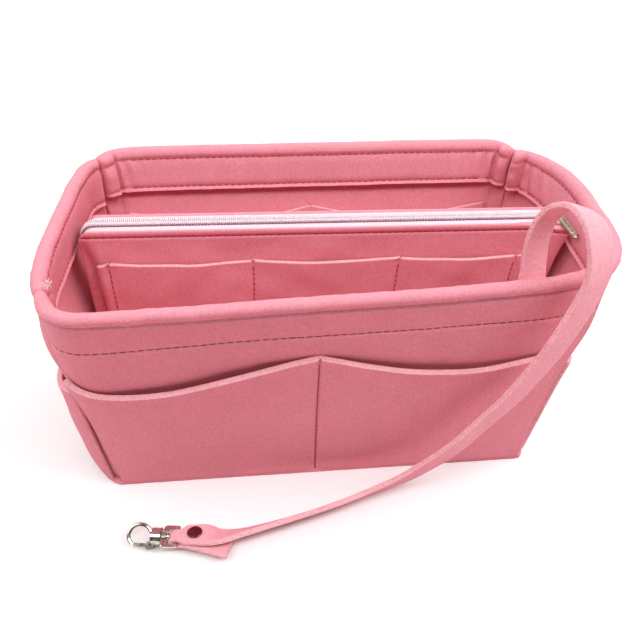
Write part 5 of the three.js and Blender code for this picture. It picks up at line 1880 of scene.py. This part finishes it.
class ORGANIZER_OT_zip_fittings(bpy.types.Operator):
    """Makes the slider with its bridge, and the slotted pull tab"""

    bl_idname = "organizer.zip_fittings"
    bl_label = "Zip fittings"

    def execute(self, context):
        place = Matrix.Translation((0, POUCH_BACK, 0)) @ Matrix.Rotation(POUCH_TURN, 4, "Z")
        place = place @ Matrix.Translation((ZIP_RIGHT - SLIDER_HALF[0], 0, POUCH_TOP))
        colour = tuple(context.scene.organizer_metal.zip)
        metal = kept("zip_metal", metal_material, colour, ZIP_METAL_ROUGH)
        cutting = Cutting()
        turn = np.linspace(0, 2 * math.pi, SLIDER_SIDES, endpoint=False)
        along, across = [
            np.sign(wave) * np.abs(wave) ** SLIDER_SQUARENESS
            for wave in (np.cos(turn), np.sin(turn))]
        for low, high in SLIDER_PLATES:
            levels = [(size, low + rise) for size, rise in PLATE_LOWER]
            levels += [(size, high + rise) for size, rise in PLATE_UPPER]
            rings = []
            for size, z in levels:
                x = SLIDER_HALF[0] * size * along
                y = (SLIDER_HALF[1] - SLIDER_TAPER * (along + 1)) * size * across
                rings.append(np.column_stack([x, y, np.full_like(x, z)]))
            add_loft(cutting, apply(place, np.stack(rings)))
        post = np.array([(0, 0, z) for z in np.linspace(*POST, POST_POINTS)])
        add_tube(cutting, apply(place, post), POST_RADIUS, flat=(1, 0, 0))
        bridge = through(BRIDGE, np.linspace(0, len(BRIDGE) - 1, BRIDGE_POINTS))
        add_tube(cutting, apply(place, bridge), BRIDGE_RADIUS, BRIDGE_SIDES, flat=(0, 1, 0))
        slider = cutting.piece("zip_slider_metal", [metal], "slider", "nickel")
        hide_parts("zip_slider")
        self.pull(place, metal)
        return {"FINISHED"}

    @staticmethod
    def pull(place, metal):
        """Pull tab that hangs from the bridge's bar, its leaf a little askew."""
        place = place @ Matrix.Translation((PULL_PLACE, 0, BAR_HEIGHT))
        place = place @ Matrix.Rotation(PULL_TILT, 4, "X")
        cutting = Cutting()
        turn = np.linspace(0, 2 * math.pi, EYE_POINTS, endpoint=False)
        eye = EYE_RADIUS * np.column_stack([np.zeros(EYE_POINTS), np.cos(turn), np.sin(turn)])
        for x in EYE_PLACES:
            add_tube(cutting, apply(place, eye + [x, 0, 0]), EYE_WIRE, closed=True, flat=(1, 0, 0))
        neck = np.array([(0.0, y, 0) for y in np.linspace(*NECK, len(NECK_RADII))])
        add_tube(cutting, apply(place, neck), NECK_RADII, NECK_SIDES, flat=(0, 0, 1))
        place = place @ Matrix.Rotation(PULL_LAX, 4, "Z")
        ends = np.linspace(0, math.pi, LEAF_END_POINTS)
        near_end, far_end = [
            np.column_stack([half * np.cos(ends), y + curve * np.sin(ends)])
            for half, y, curve in (LEAF_NEAR, LEAF_FAR)]
        leaf = even(np.concatenate([near_end, far_end, near_end[:1]]), LEAF_STEP)[:-1]
        centre = leaf.mean(0)
        rings = []
        for k, z in LEAF_LEVELS:
            ring = (leaf - centre) * (k, lerp(1, k, LEAF_LENGTHWISE)) + centre
            rings.append(np.column_stack([ring, np.full(len(leaf), z)]))
        add_loft(cutting, apply(place, np.stack(rings)))
        for x in RIB_PLACES:
            rib = np.array([(x, y, LEAF_TOP) for y in np.linspace(*RIB_RUN, RIB_POINTS)])
            add_tube(cutting, apply(place, rib), RIB_RADIUS)
        for y in CROSS_PLACES:
            bar = np.array([(x, y, LEAF_TOP) for x in np.linspace(*CROSS_RUN, CROSS_POINTS)])
            add_tube(cutting, apply(place, bar), CROSS_RADIUS)
        pull = cutting.piece("zip_pull_metal", [metal], "pull", "nickel")
        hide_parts("zip_pull")


HOOK_BEVEL = 0.00035
RIVET_BEVEL = 0.0002
BEVEL_ANGLE = math.radians(35)


class ORGANIZER_OT_hook(bpy.types.Operator):
    """Plates the swivel eye, the snap hook with its gate, pin and spring, and the rivet, whose dark
    red-brown is painted reflection of the felt
    """

    bl_idname = "organizer.hook"
    bl_label = "Swivel hook"

    def execute(self, context):
        looks = context.scene.organizer_metal
        nickel = kept("nickel_plate", metal_material, tuple(looks.nickel), NICKEL_ROUGH)
        # The rivet's colour is painted reflection of the pink felt round it.
        rivet = kept("rivet_plate", metal_material, tuple(looks.rivet), RIVET_ROUGH)
        for names, metal, bevel in (
                (HOOK_NODES, nickel, HOOK_BEVEL), (RIVET_NODES, rivet, RIVET_BEVEL)):
            for name in names:
                self.plate(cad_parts[name], metal, bevel)
        return {"FINISHED"}

    @staticmethod
    def plate(node, metal, width):
        """Gives a CAD piece its metal and softens its edges."""
        node.data.materials.clear()
        node.data.materials.append(metal)
        bevel = node.modifiers.new("edge", "BEVEL")
        bevel.width = width
        bevel.segments = 2
        bevel.limit_method = "ANGLE"
        bevel.angle_limit = BEVEL_ANGLE
        bevel.harden_normals = False
        node.data.shade_smooth()
        node.modifiers.new("faces", "WEIGHTED_NORMAL")


class ORGANIZER_PT_panel(bpy.types.Panel):
    """Sidebar panel with the organizer's pieces and settings"""

    bl_idname = "ORGANIZER_PT_panel"
    bl_label = "Felt organizer"
    bl_space_type = "VIEW_3D"
    bl_region_type = "UI"
    bl_category = "Organizer"

    def draw(self, context):
        for operator in OPERATORS:
            self.layout.operator(operator.bl_idname)
        for name in SETTINGS:
            box = self.layout.box()
            group = getattr(context.scene, name)
            for key in group.__annotations__:
                box.prop(group, key)


SETTINGS = {
    "organizer_felt": OrganizerFelt,
    "organizer_stitch": OrganizerStitch,
    "organizer_zip": OrganizerZip,
    "organizer_metal": OrganizerMetal,
    "organizer_stage": OrganizerStage,
}
OPERATORS = (
    ORGANIZER_OT_stage,
    ORGANIZER_OT_key_strap,
    ORGANIZER_OT_hook,
    ORGANIZER_OT_walls,
    ORGANIZER_OT_hem_stitches,
    ORGANIZER_OT_outer_pockets,
    ORGANIZER_OT_inner_pocket,
    ORGANIZER_OT_base,
    ORGANIZER_OT_pouch,
    ORGANIZER_OT_zip,
    ORGANIZER_OT_zip_fittings,
)
CLASSES = (*SETTINGS.values(), *OPERATORS, ORGANIZER_PT_panel)


def register():
    for cls in CLASSES:
        bpy.utils.register_class(cls)
    for name, group in SETTINGS.items():
        setattr(bpy.types.Scene, name, PointerProperty(type=group))


def unregister():
    for name in SETTINGS:
        delattr(bpy.types.Scene, name)
    for cls in reversed(CLASSES):
        bpy.utils.unregister_class(cls)


def main():
    register()
    for operator in OPERATORS:
        group, name = operator.bl_idname.split(".")
        getattr(getattr(bpy.ops, group), name)()


if __name__ == "__main__":
    main()
